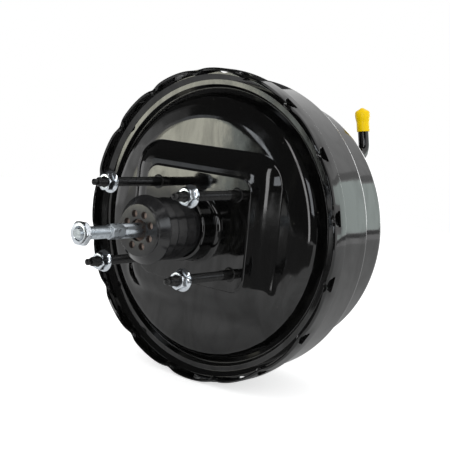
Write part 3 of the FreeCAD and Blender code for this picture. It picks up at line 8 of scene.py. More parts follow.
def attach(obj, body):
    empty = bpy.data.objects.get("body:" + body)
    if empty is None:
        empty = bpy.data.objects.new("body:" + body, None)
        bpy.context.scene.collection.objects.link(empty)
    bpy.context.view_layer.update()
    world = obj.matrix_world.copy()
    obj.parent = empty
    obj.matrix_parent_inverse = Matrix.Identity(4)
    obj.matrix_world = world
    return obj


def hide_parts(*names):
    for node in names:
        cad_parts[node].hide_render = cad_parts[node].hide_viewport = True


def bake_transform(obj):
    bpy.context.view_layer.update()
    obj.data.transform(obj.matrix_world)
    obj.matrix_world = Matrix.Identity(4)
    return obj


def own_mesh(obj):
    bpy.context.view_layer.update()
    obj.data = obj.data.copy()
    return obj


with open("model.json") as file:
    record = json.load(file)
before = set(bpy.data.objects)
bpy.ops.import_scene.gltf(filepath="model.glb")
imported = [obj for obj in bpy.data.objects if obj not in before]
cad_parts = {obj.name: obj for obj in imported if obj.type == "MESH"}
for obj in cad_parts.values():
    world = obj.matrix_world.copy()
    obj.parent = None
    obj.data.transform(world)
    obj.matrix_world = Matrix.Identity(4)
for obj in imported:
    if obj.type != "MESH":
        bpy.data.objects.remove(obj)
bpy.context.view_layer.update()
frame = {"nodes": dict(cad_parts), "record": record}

# Brake booster, in the frame of the part: Y is the axis, the pedal side looks towards -Y and Z is
# up. Sizes below are in millimetres, and make_piece turns them into metres.
MM = 0.001

# Floor, in metres
FLOOR_HEIGHT = -0.132
FLOOR_HALF = 1.3

# Levels of light: what the floor adds for the camera, and what the world sheds on the object
FLOOR_LIFT = 0.62
WORLD_LEVEL = 0.8

# Camera
CAMERA_PLACE = (575.22, -687.89, 117.67)
CAMERA_AZIMUTH = 38.23
CAMERA_DROP = 7.22
CAMERA_ROLL = 5.66
FRAME_PIXELS = 450
FOCAL_PIXELS = 1097
SENSOR = 36

# Shells
WALL = 1.6
FLANGE_RADIUS = 131.6
FLANGE_EDGE = 12.0
LIP_CURL = 1.3
LIP_LENGTH = 2.4
FLANGE_BACK = 27.5
DRUM_RADIUS = 126.0
DRUM_FRONT = 70.0
NOSE_RADIUS = 111.5
NOSE_FRONT = 120.0
RECESS_PLANE = 112.0
CRIMPS = 16
CRIMP_GAP = 2 * math.pi / CRIMPS
CRIMP_TURN = math.radians(11.25)
CRIMP_SAMPLES = 32
DIP_DEPTH = 1.7
DIP_WIDTH = 5.0
DIP_FADE = 5.0
PINCH_DEPTH = 1.5
PINCH_WIDTH = 7.5
EDGE_FADE = 9.0
WAVE_DEPTH = 0.5
WAVE_HALF = 25.8
SHEAR_PLANE = 20.1
DIMPLE_HALF_WIDTH = 5.6
DIMPLE_LENGTH = 7.0
DIMPLE_DEPTH = 3.1
RIM_RADIUS = 129.7
RIM_PLANE = 20.4
SLOT_HALF_LENGTH = 6.5
SLOT_HEIGHT = 2.0
SLOT_RADII = (127.2, 130.2)
SLOT_PLANE = FLANGE_BACK - 1.2
PLATFORM_PLANE = 11.8
PLATFORM_RADIUS = 90.6
DISH_RADIUS = 107.0
DISH_PLANE = 14.8
BOSS_TOP = 2.5
BOSS_HALF = (68.4, 57.0)
BOSS_CORNER = 18.0
BOSS_CROWN = 0.12
CROWN_RISE = 1.7
PAD_HALF = (56.0, 46.2)
PAD_CORNER = 12.0
PAD_SLOPE = 1.3
PAD_EDGE_BLEND = 0.7
PAD_FOOT_BLEND = 0.6
BOSS_EDGE_BLEND = 6.0
BOSS_FOOT_BLEND = 0.8
PLATFORM_BLEND = 0.55
NECK_RADIUS = 26.8
NECK_MOUTH = -18.5

# The boss's foot is filled out below this height, over this span
LOW_START = -20.0
LOW_SPAN = 42.0
LOW_FOOT_BLEND = 8.0

# Fasteners and rod
STUD_SPACING = (85.0, 64.5)
STUD_RADIUS = 3.88
SHANK_RADIUS = 4.1
SHANK_LENGTH = 10.0
KNURL_RADIUS = 4.3
STUD_END = -76.9
STUD_DOG_RADIUS = 2.6
STUD_DOG_LENGTH = 5.2
STUD_PITCH = 1.25
STUD_THREAD_DEPTH = 0.62
NUT_SEAT = -56.5
NUT_HEIGHT = 8.0
NUT_FLATS = 13.0
NUT_FLANGE = 8.95
NUT_TURN = 0.3
NUT_TURN_STEP = 0.37
THREAD_PLAY = 0.03
LOCK_NUT_FRONT = -129.0
LOCK_NUT_HEIGHT = 5.0
LOCK_NUT_FLATS = 17.0
ROD_THREAD_RADIUS = 4.98
ROD_THREAD_DEPTH = 0.8
ROD_PITCH = 1.5
ROD_END = -130.6
BALL_RADIUS = 5.5
BALL_PLACE = 2.0
MASTER_SPACING = 82.0
MASTER_END = 138.0

# Dust boot
BOOT_RADIUS = 25.1
BOOT_WAIST = 22.9
BOOT_CRESTS = (-46.4, -35.8, -25.2)
BOOT_SHARP = 38
BREATHERS = 8
BREATHER_CIRCLE = 13.3
BREATHER_RADIUS = 2.9

# Pipe and cap
PIPE_ROOT = (65.6, 120.0, 67.7)
PIPE_LEAN = 11.0
PIPE_RADIUS = 4.75
PIPE_BORE = 3.75
PIPE_RUN = 16.6
PIPE_BEND = 11.4
PIPE_LEG = 28.0
PIPE_INSET = 5.0

# Fineness of the meshes: degrees between points of a bend, sides of a coil's wire, steps per turn
BEND_STEP = 10.0
WIRE_SIDES = 12
COIL_STEPS = 40
FLAG_STEPS = 24


def add_camera():
    """The camera that was fitted to the photograph."""
    azimuth = math.radians(CAMERA_AZIMUTH)
    drop = math.radians(CAMERA_DROP)
    roll = math.radians(CAMERA_ROLL)
    flat = math.cos(drop)
    forward = Vector((-math.sin(azimuth) * flat, math.cos(azimuth) * flat, -math.sin(drop)))
    level = Vector((math.cos(azimuth), math.sin(azimuth), 0))
    upright = level.cross(forward)
    right = level * math.cos(roll) + upright * math.sin(roll)
    up = upright * math.cos(roll) - level * math.sin(roll)
    data = bpy.data.cameras.new("camera")
    data.sensor_width = SENSOR
    data.lens = SENSOR * FOCAL_PIXELS / FRAME_PIXELS
    camera = bpy.data.objects.new("camera", data)
    turn = Matrix((right, up, -forward)).transposed().to_4x4()
    camera.matrix_world = Matrix.Translation(Vector(CAMERA_PLACE) * MM) @ turn
    bpy.context.collection.objects.link(camera)
    bpy.context.scene.camera = camera


def direction(azimuth, elevation):
    """Unit vector: azimuth 0 points along -Y and 90 along +X."""
    azimuth = math.radians(azimuth)
    elevation = math.radians(elevation)
    flat = math.cos(elevation)
    return Vector((math.sin(azimuth) * flat, -math.cos(azimuth) * flat, math.sin(elevation)))


def add_softbox(name, azimuths, elevations, radiance, color=(1, 1, 1), distance=6.0):
    """An upright light that fills a range of azimuth and elevation as seen from the object."""
    middle = direction(sum(azimuths) / 2, 0)
    low, high = (distance * math.tan(math.radians(elevation)) for elevation in elevations)
    data = bpy.data.lights.new(name, "AREA")
    data.shape = "RECTANGLE"
    data.size = 2 * distance * math.tan(math.radians((azimuths[1] - azimuths[0]) / 2))
    data.size_y = high - low
    data.energy = radiance * math.pi * data.size * data.size_y
    data.color = color
    light = bpy.data.objects.new(name, data)
    light.location = middle * distance + Vector((0, 0, (low + high) / 2))
    light.rotation_euler = (-middle).to_track_quat("-Z", "Y").to_euler()
    bpy.context.collection.objects.link(light)


def highest(tree, outputs):
    """Output with the highest of several values."""
    result = outputs[0]
    for output in outputs[1:]:
        node = tree.nodes.new("ShaderNodeMath")
        node.operation = "MAXIMUM"
        tree.links.new(result, node.inputs[0])
        tree.links.new(output, node.inputs[1])
        result = node.outputs[0]
    return result


def add_world():
    """White for the camera and in reflections, and a plain level for the light that falls in."""
    world = bpy.data.worlds.new("studio")
    world.use_nodes = True
    tree = world.node_tree
    background = tree.nodes["Background"]
    background.inputs["Color"].default_value = (1, 1, 1, 1)
    path = tree.nodes.new("ShaderNodeLightPath").outputs
    rays = ("Is Camera Ray", "Is Glossy Ray", "Is Transmission Ray")
    seen = highest(tree, [path[ray] for ray in rays])
    level = tree.nodes.new("ShaderNodeMapRange")
    level.inputs["To Min"].default_value = WORLD_LEVEL
    level.inputs["To Max"].default_value = 1.0
    tree.links.new(seen, level.inputs["Value"])
    tree.links.new(level.outputs["Result"], background.inputs["Strength"])
    bpy.context.scene.world = world


def glow_material(name, level):
    """Black that sheds an even level of white light."""
    material = bpy.data.materials.new(name)
    material.use_nodes = True
    shader = material.node_tree.nodes["Principled BSDF"]
    shader.inputs["Base Color"].default_value = (0, 0, 0, 1)
    shader.inputs["Specular IOR Level"].default_value = 0
    shader.inputs["Emission Color"].default_value = (1, 1, 1, 1)
    shader.inputs["Emission Strength"].default_value = level
    return material


def add_flag(name, azimuths, level, places):
    """A dark card round part of the studio, which shows in reflections only.

    places gives the distance and height of the card's two long edges, in metres.
    """
    vertices = []
    for reach, height in places:
        for step in range(FLAG_STEPS + 1):
            azimuth = azimuths[0] + (azimuths[1] - azimuths[0]) * step / FLAG_STEPS
            vertices.append(direction(azimuth, 0) * reach + Vector((0, 0, height)))
    row = FLAG_STEPS + 1
    faces = [(step, step + 1, step + row + 1, step + row) for step in range(FLAG_STEPS)]
    mesh = bpy.data.meshes.new(name)
    mesh.from_pydata(vertices, [], faces)
    flag = bpy.data.objects.new(name, mesh)
    flag.data.materials.append(glow_material(name, level))
    flag.visible_camera = False
    flag.visible_diffuse = False
    flag.visible_shadow = False
    flag.visible_transmission = False
    bpy.context.collection.objects.link(flag)


def add_floor():
    """A pale floor that is lifted to white for the camera and keeps the object's shadow."""
    mesh = bpy.data.meshes.new("floor")
    corners = [(x * FLOOR_HALF, y * FLOOR_HALF, FLOOR_HEIGHT)
               for x, y in ((-1, -1), (1, -1), (1, 1), (-1, 1))]
    mesh.from_pydata(corners, [], [(0, 1, 2, 3)])
    floor = bpy.data.objects.new("floor", mesh)
    material = bpy.data.materials.new("floor")
    material.use_nodes = True
    tree = material.node_tree
    shader = tree.nodes["Principled BSDF"]
    shader.inputs["Base Color"].default_value = (0.8, 0.8, 0.8, 1)
    shader.inputs["Roughness"].default_value = 0.9
    shader.inputs["Specular IOR Level"].default_value = 0
    shader.inputs["Emission Color"].default_value = (1, 1, 1, 1)
    path = tree.nodes.new("ShaderNodeLightPath").outputs
    level = tree.nodes.new("ShaderNodeMath")
    level.operation = "MULTIPLY"
    level.inputs[1].default_value = FLOOR_LIFT
    seen = highest(tree, [path["Is Camera Ray"], path["Is Transmission Ray"]])
    tree.links.new(seen, level.inputs[0])
    tree.links.new(level.outputs[0], shader.inputs["Emission Strength"])
    mesh.materials.append(material)
    bpy.context.collection.objects.link(floor)


def add_studio():
    """Softboxes at the object's left, right and back, dark cards between them, and the floor."""
    bpy.context.scene.view_settings.view_transform = "Standard"
    add_world()
    beige = (1, 0.99, 0.83)
    cool = (0.9, 0.95, 1)
    card_height = FLOOR_HEIGHT + 0.001
    add_softbox("left_softbox", (-43.8, -38.6), (-6.5, 5), 4.8, beige)
    add_softbox("left_edge", (-38.6, -37.2), (-6, 5), 1.6, (0.9, 1, 0.95))
    add_softbox("left_side", (-48, -43.8), (-6.5, 5), 2.2, beige)
    add_softbox("left_wing", (-66, -48), (-6.5, 5), 1.0)
    add_softbox("left_upper", (-66, -48), (5, 10), 0.7, distance=4.5)
    add_softbox("left_shoulder", (-48, -38.6), (5, 12), 0.7, cool, 4.5)
    add_softbox("left_top", (-66, -48), (10, 14), 0.35, distance=4.5)
    add_softbox("left_crown", (-66, -48), (14, 18), 0.17, distance=4.5)
    add_softbox("far_left_softbox", (-90, -66), (-12, 12), 1.4)
    add_softbox("crest_light", (-32, -26), (3, 13), 3.0, cool, 4.5)
    add_softbox("right_strip", (18, 30), (-15, 55), 3.2, distance=3.0)
    add_softbox("boot_softbox", (44, 60), (12, 34), 2.4, cool, 3.0)
    add_softbox("back_softbox", (141, 166), (-1, 19), 1.1, (0.8, 1, 0.93))
    add_softbox("rear_strip", (172, 204), (-4, 14), 3.0)
    add_flag("horizon_flag", (120, 178), 0.3, [(5.5, -0.3), (5.5, -0.13)])
    add_flag("shade_flag", (135, 170), 0.6, [(5.5, 1.95), (5.5, 2.2)])
    add_flag("front_flag", (-150, 80), 0.045, [(7.4, -1.5), (1.9, 7.2)])
    add_flag("floor_flag", (-32, 60), 0.12, [(0.4, card_height), (1.28, card_height)])
    add_floor()


class Surface:
    """A procedural material: a Principled shader whose inputs are driven by noise."""

    def __init__(self, name, color, roughness, metallic=0.0, ior=1.5):
        self.material = bpy.data.materials.new(name)
        self.material.use_nodes = True
        self.tree = self.material.node_tree
        self.shader = self.tree.nodes["Principled BSDF"]
        self.set("Base Color", (*color, 1))
        self.set("Roughness", roughness)
        self.set("Metallic", metallic)
        self.set("IOR", ior)
        self.place = self.tree.nodes.new("ShaderNodeTexCoord").outputs["Object"]
        self.height = None

    def set(self, socket, value):
        self.shader.inputs[socket].default_value = value

    def link(self, output, node_input):
        self.tree.links.new(output, node_input)

    def stretched(self, scale):
        """Coordinates that are squeezed or stretched along each axis."""
        mapping = self.tree.nodes.new("ShaderNodeMapping")
        mapping.inputs["Scale"].default_value = scale
        self.link(self.place, mapping.inputs["Vector"])
        return mapping.outputs["Vector"]

    def noise(self, size, detail=4.0, roughness=0.55, distortion=0.0, place=None):
        """Noise whose features are about this many millimetres wide."""
        node = self.tree.nodes.new("ShaderNodeTexNoise")
        node.inputs["Scale"].default_value = 1 / (size * MM)
        node.inputs["Detail"].default_value = detail
        node.inputs["Roughness"].default_value = roughness
        node.inputs["Distortion"].default_value = distortion
        self.link(place or self.place, node.inputs["Vector"])
        return node.outputs["Fac"]

    def cells(self, size):
        """Distance to the nearest of scattered points, this many millimetres apart."""
        node = self.tree.nodes.new("ShaderNodeTexVoronoi")
        node.inputs["Scale"].default_value = 1 / (size * MM)
        self.link(self.place, node.inputs["Vector"])
        return node.outputs["Distance"]

    def map(self, value, source, target):
        """Carries one range of values over to another, and holds it at the ends."""
        node = self.tree.nodes.new("ShaderNodeMapRange")
        node.inputs["From Min"].default_value = source[0]
        node.inputs["From Max"].default_value = source[1]
        node.inputs["To Min"].default_value = target[0]
        node.inputs["To Max"].default_value = target[1]
        self.link(value, node.inputs["Value"])
        return node.outputs["Result"]

    def times(self, first, second):
        node = self.tree.nodes.new("ShaderNodeMath")
        node.operation = "MULTIPLY"
        self.link(first, node.inputs[0])
        self.link(second, node.inputs[1])
        return node.outputs[0]

    def tint(self, share, color):
        """Mixes a colour into the base colour where share is high."""
        node = self.tree.nodes.new("ShaderNodeMix")
        node.data_type = "RGBA"
        base = self.shader.inputs["Base Color"]
        if base.is_linked:
            self.link(base.links[0].from_socket, node.inputs["A"])
        else:
            node.inputs["A"].default_value = base.default_value
        node.inputs["B"].default_value = (*color, 1)
        self.link(share, node.inputs["Factor"])
        self.link(node.outputs["Result"], base)

    def rough(self, value):
        self.link(value, self.shader.inputs["Roughness"])

    def bump(self, height, depth, strength=1.0):
        """Raises the surface by height, up to depth millimetres."""
        node = self.tree.nodes.new("ShaderNodeBump")
        node.inputs["Strength"].default_value = strength
        node.inputs["Distance"].default_value = depth * MM
        self.link(height, node.inputs["Height"])
        if self.height is not None:
            self.link(self.height, node.inputs["Normal"])
        self.height = node.outputs["Normal"]
        self.link(self.height, self.shader.inputs["Normal"])


def black_paint():
    """Glossy black paint with orange peel, wipe marks and a little dust."""
    surface = Surface("black_paint", (0.002, 0.002, 0.002), 0.08, ior=1.65)
    wipes = surface.noise(26, 6, 0.62, 1.4, surface.stretched((1.0, 1.0, 0.45)))
    surface.rough(surface.map(wipes, (0.42, 0.72), (0.06, 0.13)))
    surface.tint(surface.map(wipes, (0.5, 0.8), (0.0, 0.6)), (0.008, 0.008, 0.007))
    shine = surface.map(wipes, (0.4, 0.68), (0.52, 0.34))
    surface.link(shine, surface.shader.inputs["Specular IOR Level"])
    dust = surface.map(surface.cells(5.5), (0.035, 0.055), (1.0, 0.0))
    patches = surface.map(surface.noise(30, 3), (0.5, 0.62), (0.0, 1.0))
    surface.tint(surface.times(dust, patches), (0.2, 0.19, 0.17))
    surface.bump(surface.noise(2.4, 2), 0.012, 0.5)
    surface.bump(surface.noise(14, 2), 0.05, 0.35)
    surface.bump(surface.noise(38, 2), 0.3, 0.4)
    return surface.material


def zinc(name, color, roughness, mottle):
    """Bright zinc plating: metal with mottled grain and a soft unevenness."""
    surface = Surface(name, color, roughness, metallic=1.0)
    grain = surface.noise(mottle, 5, 0.65)
    surface.rough(surface.map(grain, (0.3, 0.75), (roughness * 0.6, roughness * 1.7)))
    surface.tint(surface.map(grain, (0.45, 0.8), (0.0, 0.7)), tuple(part * 0.55 for part in color))
    surface.bump(surface.noise(mottle * 0.6, 4, 0.6), 0.05, 0.5)
    return surface.material


def phosphate():
    """Oiled black phosphate on the studs."""
    surface = Surface("black_phosphate", (0.003, 0.003, 0.003), 0.3)
    grain = surface.noise(0.7, 4, 0.6)
    surface.rough(surface.map(grain, (0.3, 0.7), (0.2, 0.38)))
    surface.tint(surface.map(surface.noise(3, 4), (0.55, 0.75), (0.0, 0.4)), (0.03, 0.028, 0.025))
    surface.bump(grain, 0.02, 0.5)
    return surface.material


def rubber(name, color, roughness):
    """Moulded rubber with a soft sheen and a fine matt grain."""
    surface = Surface(name, color, roughness, ior=1.6)
    bloom = surface.noise(9, 5, 0.6, 0.6)
    surface.rough(surface.map(bloom, (0.35, 0.7), (roughness * 0.85, roughness * 1.2)))
    paler = tuple(part * 1.7 + 0.004 for part in color)
    surface.tint(surface.map(bloom, (0.45, 0.75), (0.0, 0.5)), paler)
    surface.bump(surface.noise(0.5, 3, 0.6), 0.012, 0.4)
    return surface.material


def moulded(name, color, roughness):
    """Smooth moulded plastic with slight unevenness."""
    surface = Surface(name, color, roughness)
    cloud = surface.noise(6.0, 4, 0.55)
    surface.rough(surface.map(cloud, (0.3, 0.7), (roughness * 0.8, roughness * 1.25)))
    surface.tint(surface.map(cloud, (0.4, 0.75), (0.0, 0.35)), tuple(part * 0.8 for part in color))
    surface.bump(surface.noise(1.8, 3), 0.03, 0.3)
    return surface.material


def felt():
    """Pressed beige and pink fibres of the air filter."""
    surface = Surface("filter_felt", (0.72, 0.58, 0.5), 0.95)
    strands = surface.noise(1.1, 6, 0.7, 2.0)
    surface.tint(surface.map(strands, (0.4, 0.7), (0.0, 1.0)), (0.3, 0.17, 0.13))
    surface.bump(strands, 0.4, 0.8)
    return surface.material


def foam():
    """Open dark foam of the silencer."""
    surface = Surface("silencer_foam", (0.03, 0.03, 0.032), 0.95)
    pores = surface.cells(0.9)
    surface.tint(surface.map(pores, (0.1, 0.5), (0.0, 1.0)), (0.08, 0.08, 0.085))
    surface.bump(pores, 0.4, 0.8)
    return surface.material


def vinyl():
    """Yellow dipped vinyl of the shipping cap."""
    surface = Surface("cap_vinyl", (1.0, 0.68, 0.0), 0.33)
    surface.set("Specular IOR Level", 0.2)
    cloud = surface.noise(7, 3, 0.5)
    surface.rough(surface.map(cloud, (0.3, 0.7), (0.28, 0.38)))
    surface.tint(surface.map(cloud, (0.45, 0.75), (0.0, 0.2)), (0.92, 0.58, 0.0))
    surface.bump(surface.noise(6, 2), 0.03, 0.2)
    return surface.material


def steel(name, color, roughness):
    """Plain drawn steel with fine streaks round the axis."""
    surface = Surface(name, color, roughness, metallic=1.0)
    streaks = surface.noise(1.2, 4, 0.6, 0.2, surface.stretched((0.25, 2.0, 0.25)))
    surface.rough(surface.map(streaks, (0.3, 0.7), (roughness * 0.75, roughness * 1.35)))
    darker = tuple(part * 0.7 for part in color)
    surface.tint(surface.map(surface.noise(8, 4), (0.45, 0.7), (0.0, 0.5)), darker)
    surface.bump(streaks, 0.015, 0.4)
    return surface.material


MATERIALS = {
    "black_paint": black_paint(),
    "bare_steel": steel("bare_steel", (0.42, 0.41, 0.39), 0.34),
    "black_phosphate": phosphate(),
    "bright_zinc": zinc("bright_zinc", (0.8, 0.85, 0.9), 0.15, 2.2),
    "yellow_zinc": zinc("yellow_zinc", (0.72, 0.58, 0.3), 0.28, 3.0),
    "spring_steel": steel("spring_steel", (0.3, 0.3, 0.3), 0.35),
    "boot_rubber": rubber("boot_rubber", (0.009, 0.009, 0.0095), 0.22),
    "seal_rubber": rubber("seal_rubber", (0.015, 0.015, 0.015), 0.5),
    "phenolic": moulded("phenolic", (0.05, 0.035, 0.025), 0.4),
    "nylon": moulded("nylon", (0.55, 0.53, 0.47), 0.35),
    "filter_felt": felt(),
    "silencer_foam": foam(),
    "cap_vinyl": vinyl(),
}
ROD_ZINC = zinc("rod_zinc", (0.55, 0.6, 0.64), 0.3, 5.0)


def finish_nodes():
    """Gives every CAD node that stays the procedural material of its slot."""
    slots = {row["node"]: row["material_slot"] for row in frame["record"]["subparts"]}
    for name, node in frame["nodes"].items():
        node.data.materials.clear()
        node.data.materials.append(MATERIALS[slots[name]])


def rounded(places, closed=False):
    """Points of a line through corners given as x, y and, where it is bent, a radius."""
    corners = [Vector(place[:2]) for place in places]
    points = []
    for index, place in enumerate(places):
        bend = place[2] if len(place) > 2 else 0
        here = corners[index]
        if not bend or (not closed and index in (0, len(places) - 1)):
            points.append(here)
            continue
        inward = (here - corners[index - 1]).normalized()
        outward = (corners[(index + 1) % len(places)] - here).normalized()
        turn = math.atan2(inward.x * outward.y - inward.y * outward.x, inward.dot(outward))
        trim = bend * math.tan(abs(turn) / 2)
        normal = Vector((-inward.y, inward.x)) * math.copysign(1, turn)
        centre = here - inward * trim + normal * bend
        spoke = -normal * bend
        count = max(2, math.ceil(math.degrees(abs(turn)) / BEND_STEP))
        for part in range(count + 1):
            angle = turn * part / count
            spun = Vector((
                spoke.x * math.cos(angle) - spoke.y * math.sin(angle),
                spoke.x * math.sin(angle) + spoke.y * math.cos(angle),
            ))
            points.append(centre + spun)
    return points


def skin(rings, closed=False):
    """Faces that join rings of as many points each."""
    count = len(rings[0])
    faces = []
    for row in range(len(rings) if closed else len(rings) - 1):
        here = row * count
        there = (row + 1) % len(rings) * count
        for index in range(count):
            after = (index + 1) % count
            faces.append((here + index, there + index, there + after, here + after))
    return [point for ring in rings for point in ring], faces


def even_turns(sides):
    """Angles of a ring's points, in radians."""
    return [2 * math.pi * index / sides for index in range(sides)]


def turned_rings(outline, turns, shape=None):
    """Rings of a section of radius and place along Y, turned about the axis."""
    rings = []
    for radius, along in outline:
        ring = []
        for turn in turns:
            here = shape(radius, along, turn) if shape else (radius, along)
            ring.append(Vector((here[0] * math.cos(turn), here[1], here[0] * math.sin(turn))))
        rings.append(ring)
    return rings


def moved(rings, shift):
    return [[point + shift for point in ring] for ring in rings]


def make_piece(name, parts, body, slot, nodes=(), place=None, sharp=32, material=None):
    """One mesh object from lists of points and faces in millimetres, riding on a body."""
    vertices = []
    faces = []
    for points, polygons in parts:
        base = len(vertices)
        vertices += [tuple(point * MM) for point in points]
        faces += [tuple(base + index for index in polygon) for polygon in polygons]
    mesh = bpy.data.meshes.new(name)
    mesh.from_pydata(vertices, [], faces)
    tidy_mesh(mesh, sharp)
    mesh.materials.append(material or MATERIALS[slot])
    piece = bpy.data.objects.new(name, mesh)
    bpy.context.collection.objects.link(piece)
    if place is not None:
        mesh.transform(place)
    if nodes:
        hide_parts(*nodes)
    if body:
        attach(piece, body)
    return piece


def tidy_mesh(mesh, sharp):
    """Welds points, makes closed meshes face outward and marks sharp edges."""
    work = bmesh.new()
    work.from_mesh(mesh)
    bmesh.ops.remove_doubles(work, verts=work.verts, dist=0.002 * MM)
    bmesh.ops.dissolve_degenerate(work, edges=work.edges, dist=0.001 * MM)
    if not any(edge.is_boundary for edge in work.edges):
        bmesh.ops.recalc_face_normals(work, faces=work.faces)
    work.to_mesh(mesh)
    work.free()
    mesh.shade_smooth()
    mesh.set_sharp_from_angle(angle=math.radians(sharp))


def bake(piece, sharp=32):
    """Replaces the piece's mesh by what its modifiers make of it."""
    bpy.context.view_layer.update()
    depsgraph = bpy.context.evaluated_depsgraph_get()
    mesh = bpy.data.meshes.new_from_object(piece.evaluated_get(depsgraph))
    piece.modifiers.clear()
    piece.data = mesh
    mesh.shade_smooth()
    mesh.set_sharp_from_angle(angle=math.radians(sharp))


def thicken(piece):
    """Gives an open surface its sheet thickness, away from the side it faces."""
    solid = piece.modifiers.new("wall", "SOLIDIFY")
    solid.thickness = WALL * MM
    solid.offset = -1
    solid.use_even_offset = True
    solid.use_quality_normals = True
    bake(piece)


def from_crimp(turn):
    """Distance along the flange from the nearest crimp's middle, in millimetres."""
    return ((turn - CRIMP_TURN + CRIMP_GAP / 2) % CRIMP_GAP - CRIMP_GAP / 2) * FLANGE_RADIUS


def from_lobe(turn):
    """Distance along the flange from the middle between two crimps, in millimetres."""
    return ((turn - CRIMP_TURN) % CRIMP_GAP - CRIMP_GAP / 2) * FLANGE_RADIUS


def crimp_turns():
    """Angles round the flange, closer together at each crimp."""
    turns = []
    for crimp in range(CRIMPS):
        for sample in range(CRIMP_SAMPLES):
            share = 2 * sample / CRIMP_SAMPLES - 1
            warped = 0.45 * share + 0.55 * share ** 3
            turns.append(CRIMP_TURN + CRIMP_GAP * (crimp + warped / 2))
    return turns


def dimple(side, along):
    """Depth of a crimp's D-shaped dimple, which is sheared along its straight edge."""
    if along > SHEAR_PLANE:
        return 0.0
    reach = 1 - (side / DIMPLE_HALF_WIDTH) ** 2 - ((SHEAR_PLANE - along) / DIMPLE_LENGTH) ** 2
    return DIMPLE_DEPTH * (1 - (1 - reach) ** 4) if reach > 0 else 0.0


def flange_shape(radius, along, turn):
    """Dimples, dips and lobes of the crimped flange."""
    if along > FLANGE_BACK or radius < DRUM_RADIUS + 1:
        return radius, along
    side = from_crimp(turn)
    from_edge = along - FLANGE_EDGE
    near_edge = max(0.0, 1 - from_edge / EDGE_FADE)
    dip = DIP_DEPTH * math.exp(-(side / DIP_WIDTH) ** 2) * max(0.0, 1 - from_edge / DIP_FADE)
    pinch = PINCH_DEPTH * math.exp(-(side / PINCH_WIDTH) ** 2) * near_edge
    wave = WAVE_DEPTH * (1 + math.cos(math.pi * side / WAVE_HALF)) * 0.5
    return radius - dimple(side, along) - pinch - wave * near_edge, along + dip


def front_shell():
    """Crimped flange, drum, nose and recess, with an opening behind each dimple's straight edge."""
    edge_rows = 14
    rows = []
    for row in range(edge_rows + 1):
        along = (SHEAR_PLANE - FLANGE_EDGE) * row / edge_rows
        curl = LIP_CURL * max(0.0, 1 - along / LIP_LENGTH) ** 2
        rows.append((FLANGE_RADIUS - curl, FLANGE_EDGE + along))
    sheared = len(rows)
    outline = rows + rounded([
        (FLANGE_RADIUS, SHEAR_PLANE + 0.02),
        (FLANGE_RADIUS, FLANGE_BACK, 0.6),
        (DRUM_RADIUS, FLANGE_BACK, 1.0),
        (DRUM_RADIUS, DRUM_FRONT, 5.0),
        (NOSE_RADIUS, DRUM_FRONT, 1.5),
        (NOSE_RADIUS, NOSE_FRONT, 10.0),
        (60.0, NOSE_FRONT, 4.6),
        (54.0, RECESS_PLANE, 3.0),
        (22.0, RECESS_PLANE, 2.5),
        (22.0, RECESS_PLANE - 10.0),
    ])
    turns = crimp_turns()
    points, faces = skin(turned_rings(outline, turns, flange_shape))
    count = len(turns)
    kept = []
    for number, face in enumerate(faces):
        row = number // count
        turn = turns[number % count]
        if row == sheared - 1 and dimple(from_crimp(turn), SHEAR_PLANE) > 0.3:
            continue
        middle = sum((points[index] for index in face), Vector()) / 4
        radius = math.hypot(middle.x, middle.z)
        slotted = abs(from_lobe(turn)) < SLOT_HALF_LENGTH and SLOT_RADII[0] < radius < SLOT_RADII[1]
        if slotted and middle.y > SLOT_PLANE:
            continue
        kept.append(face)
    piece = make_piece("front_casing", [(points, kept)], None, "black_paint", ["front_shell"])
    thicken(piece)
    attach(piece, "housing")


def smooth_min(first, second, blend):
    """The lower of two values, rounded off where they differ by less than blend."""
    gap = max(blend - abs(first - second), 0.0) / blend
    return min(first, second) - gap * gap * blend / 4


def box_ray(turn, half, corner):
    """Distance from the axis to a rounded rectangle, along a ray."""
    across, up = abs(math.cos(turn)), abs(math.sin(turn))
    if across * (half[1] - corner) > up * half[0]:
        return half[0] / across
    if up * (half[0] - corner) > across * half[1]:
        return half[1] / up
    centre = (half[0] - corner, half[1] - corner)
    along = across * centre[0] + up * centre[1]
    aside = centre[0] ** 2 + centre[1] ** 2 - along ** 2
    return along + math.sqrt(max(corner ** 2 - aside, 0.0))


def box_distance(x, z, half, corner):
    """Distance outside a rounded rectangle, negative inside."""
    across = abs(x) - half[0] + corner
    up = abs(z) - half[1] + corner
    outside = math.hypot(max(across, 0.0), max(up, 0.0))
    return outside + min(max(across, up), 0.0) - corner


def rear_height(x, z):
    """Place along Y of the rear shell's outer face, out to the dish."""
    pad = box_distance(x, z, PAD_HALF, PAD_CORNER) * BOSS_TOP / PAD_SLOPE
    pad = -smooth_min(-pad, 0.0, PAD_EDGE_BLEND)
    share = min(max((LOW_START - z) / LOW_SPAN, 0.0), 1.0)
    foot_blend = BOSS_FOOT_BLEND + LOW_FOOT_BLEND * share * share * (3 - 2 * share)
    boss = box_distance(x, z, BOSS_HALF, BOSS_CORNER)
    boss = BOSS_TOP - smooth_min(-boss, min(-boss * BOSS_CROWN, CROWN_RISE), BOSS_EDGE_BLEND)
    slope = (DISH_PLANE - PLATFORM_PLANE) / (DISH_RADIUS - PLATFORM_RADIUS)
    fall = (math.hypot(x, z) - PLATFORM_RADIUS) * slope
    platform = PLATFORM_PLANE - smooth_min(-fall, 0.0, PLATFORM_BLEND)
    return smooth_min(smooth_min(pad, boss, PAD_FOOT_BLEND), platform, foot_blend)


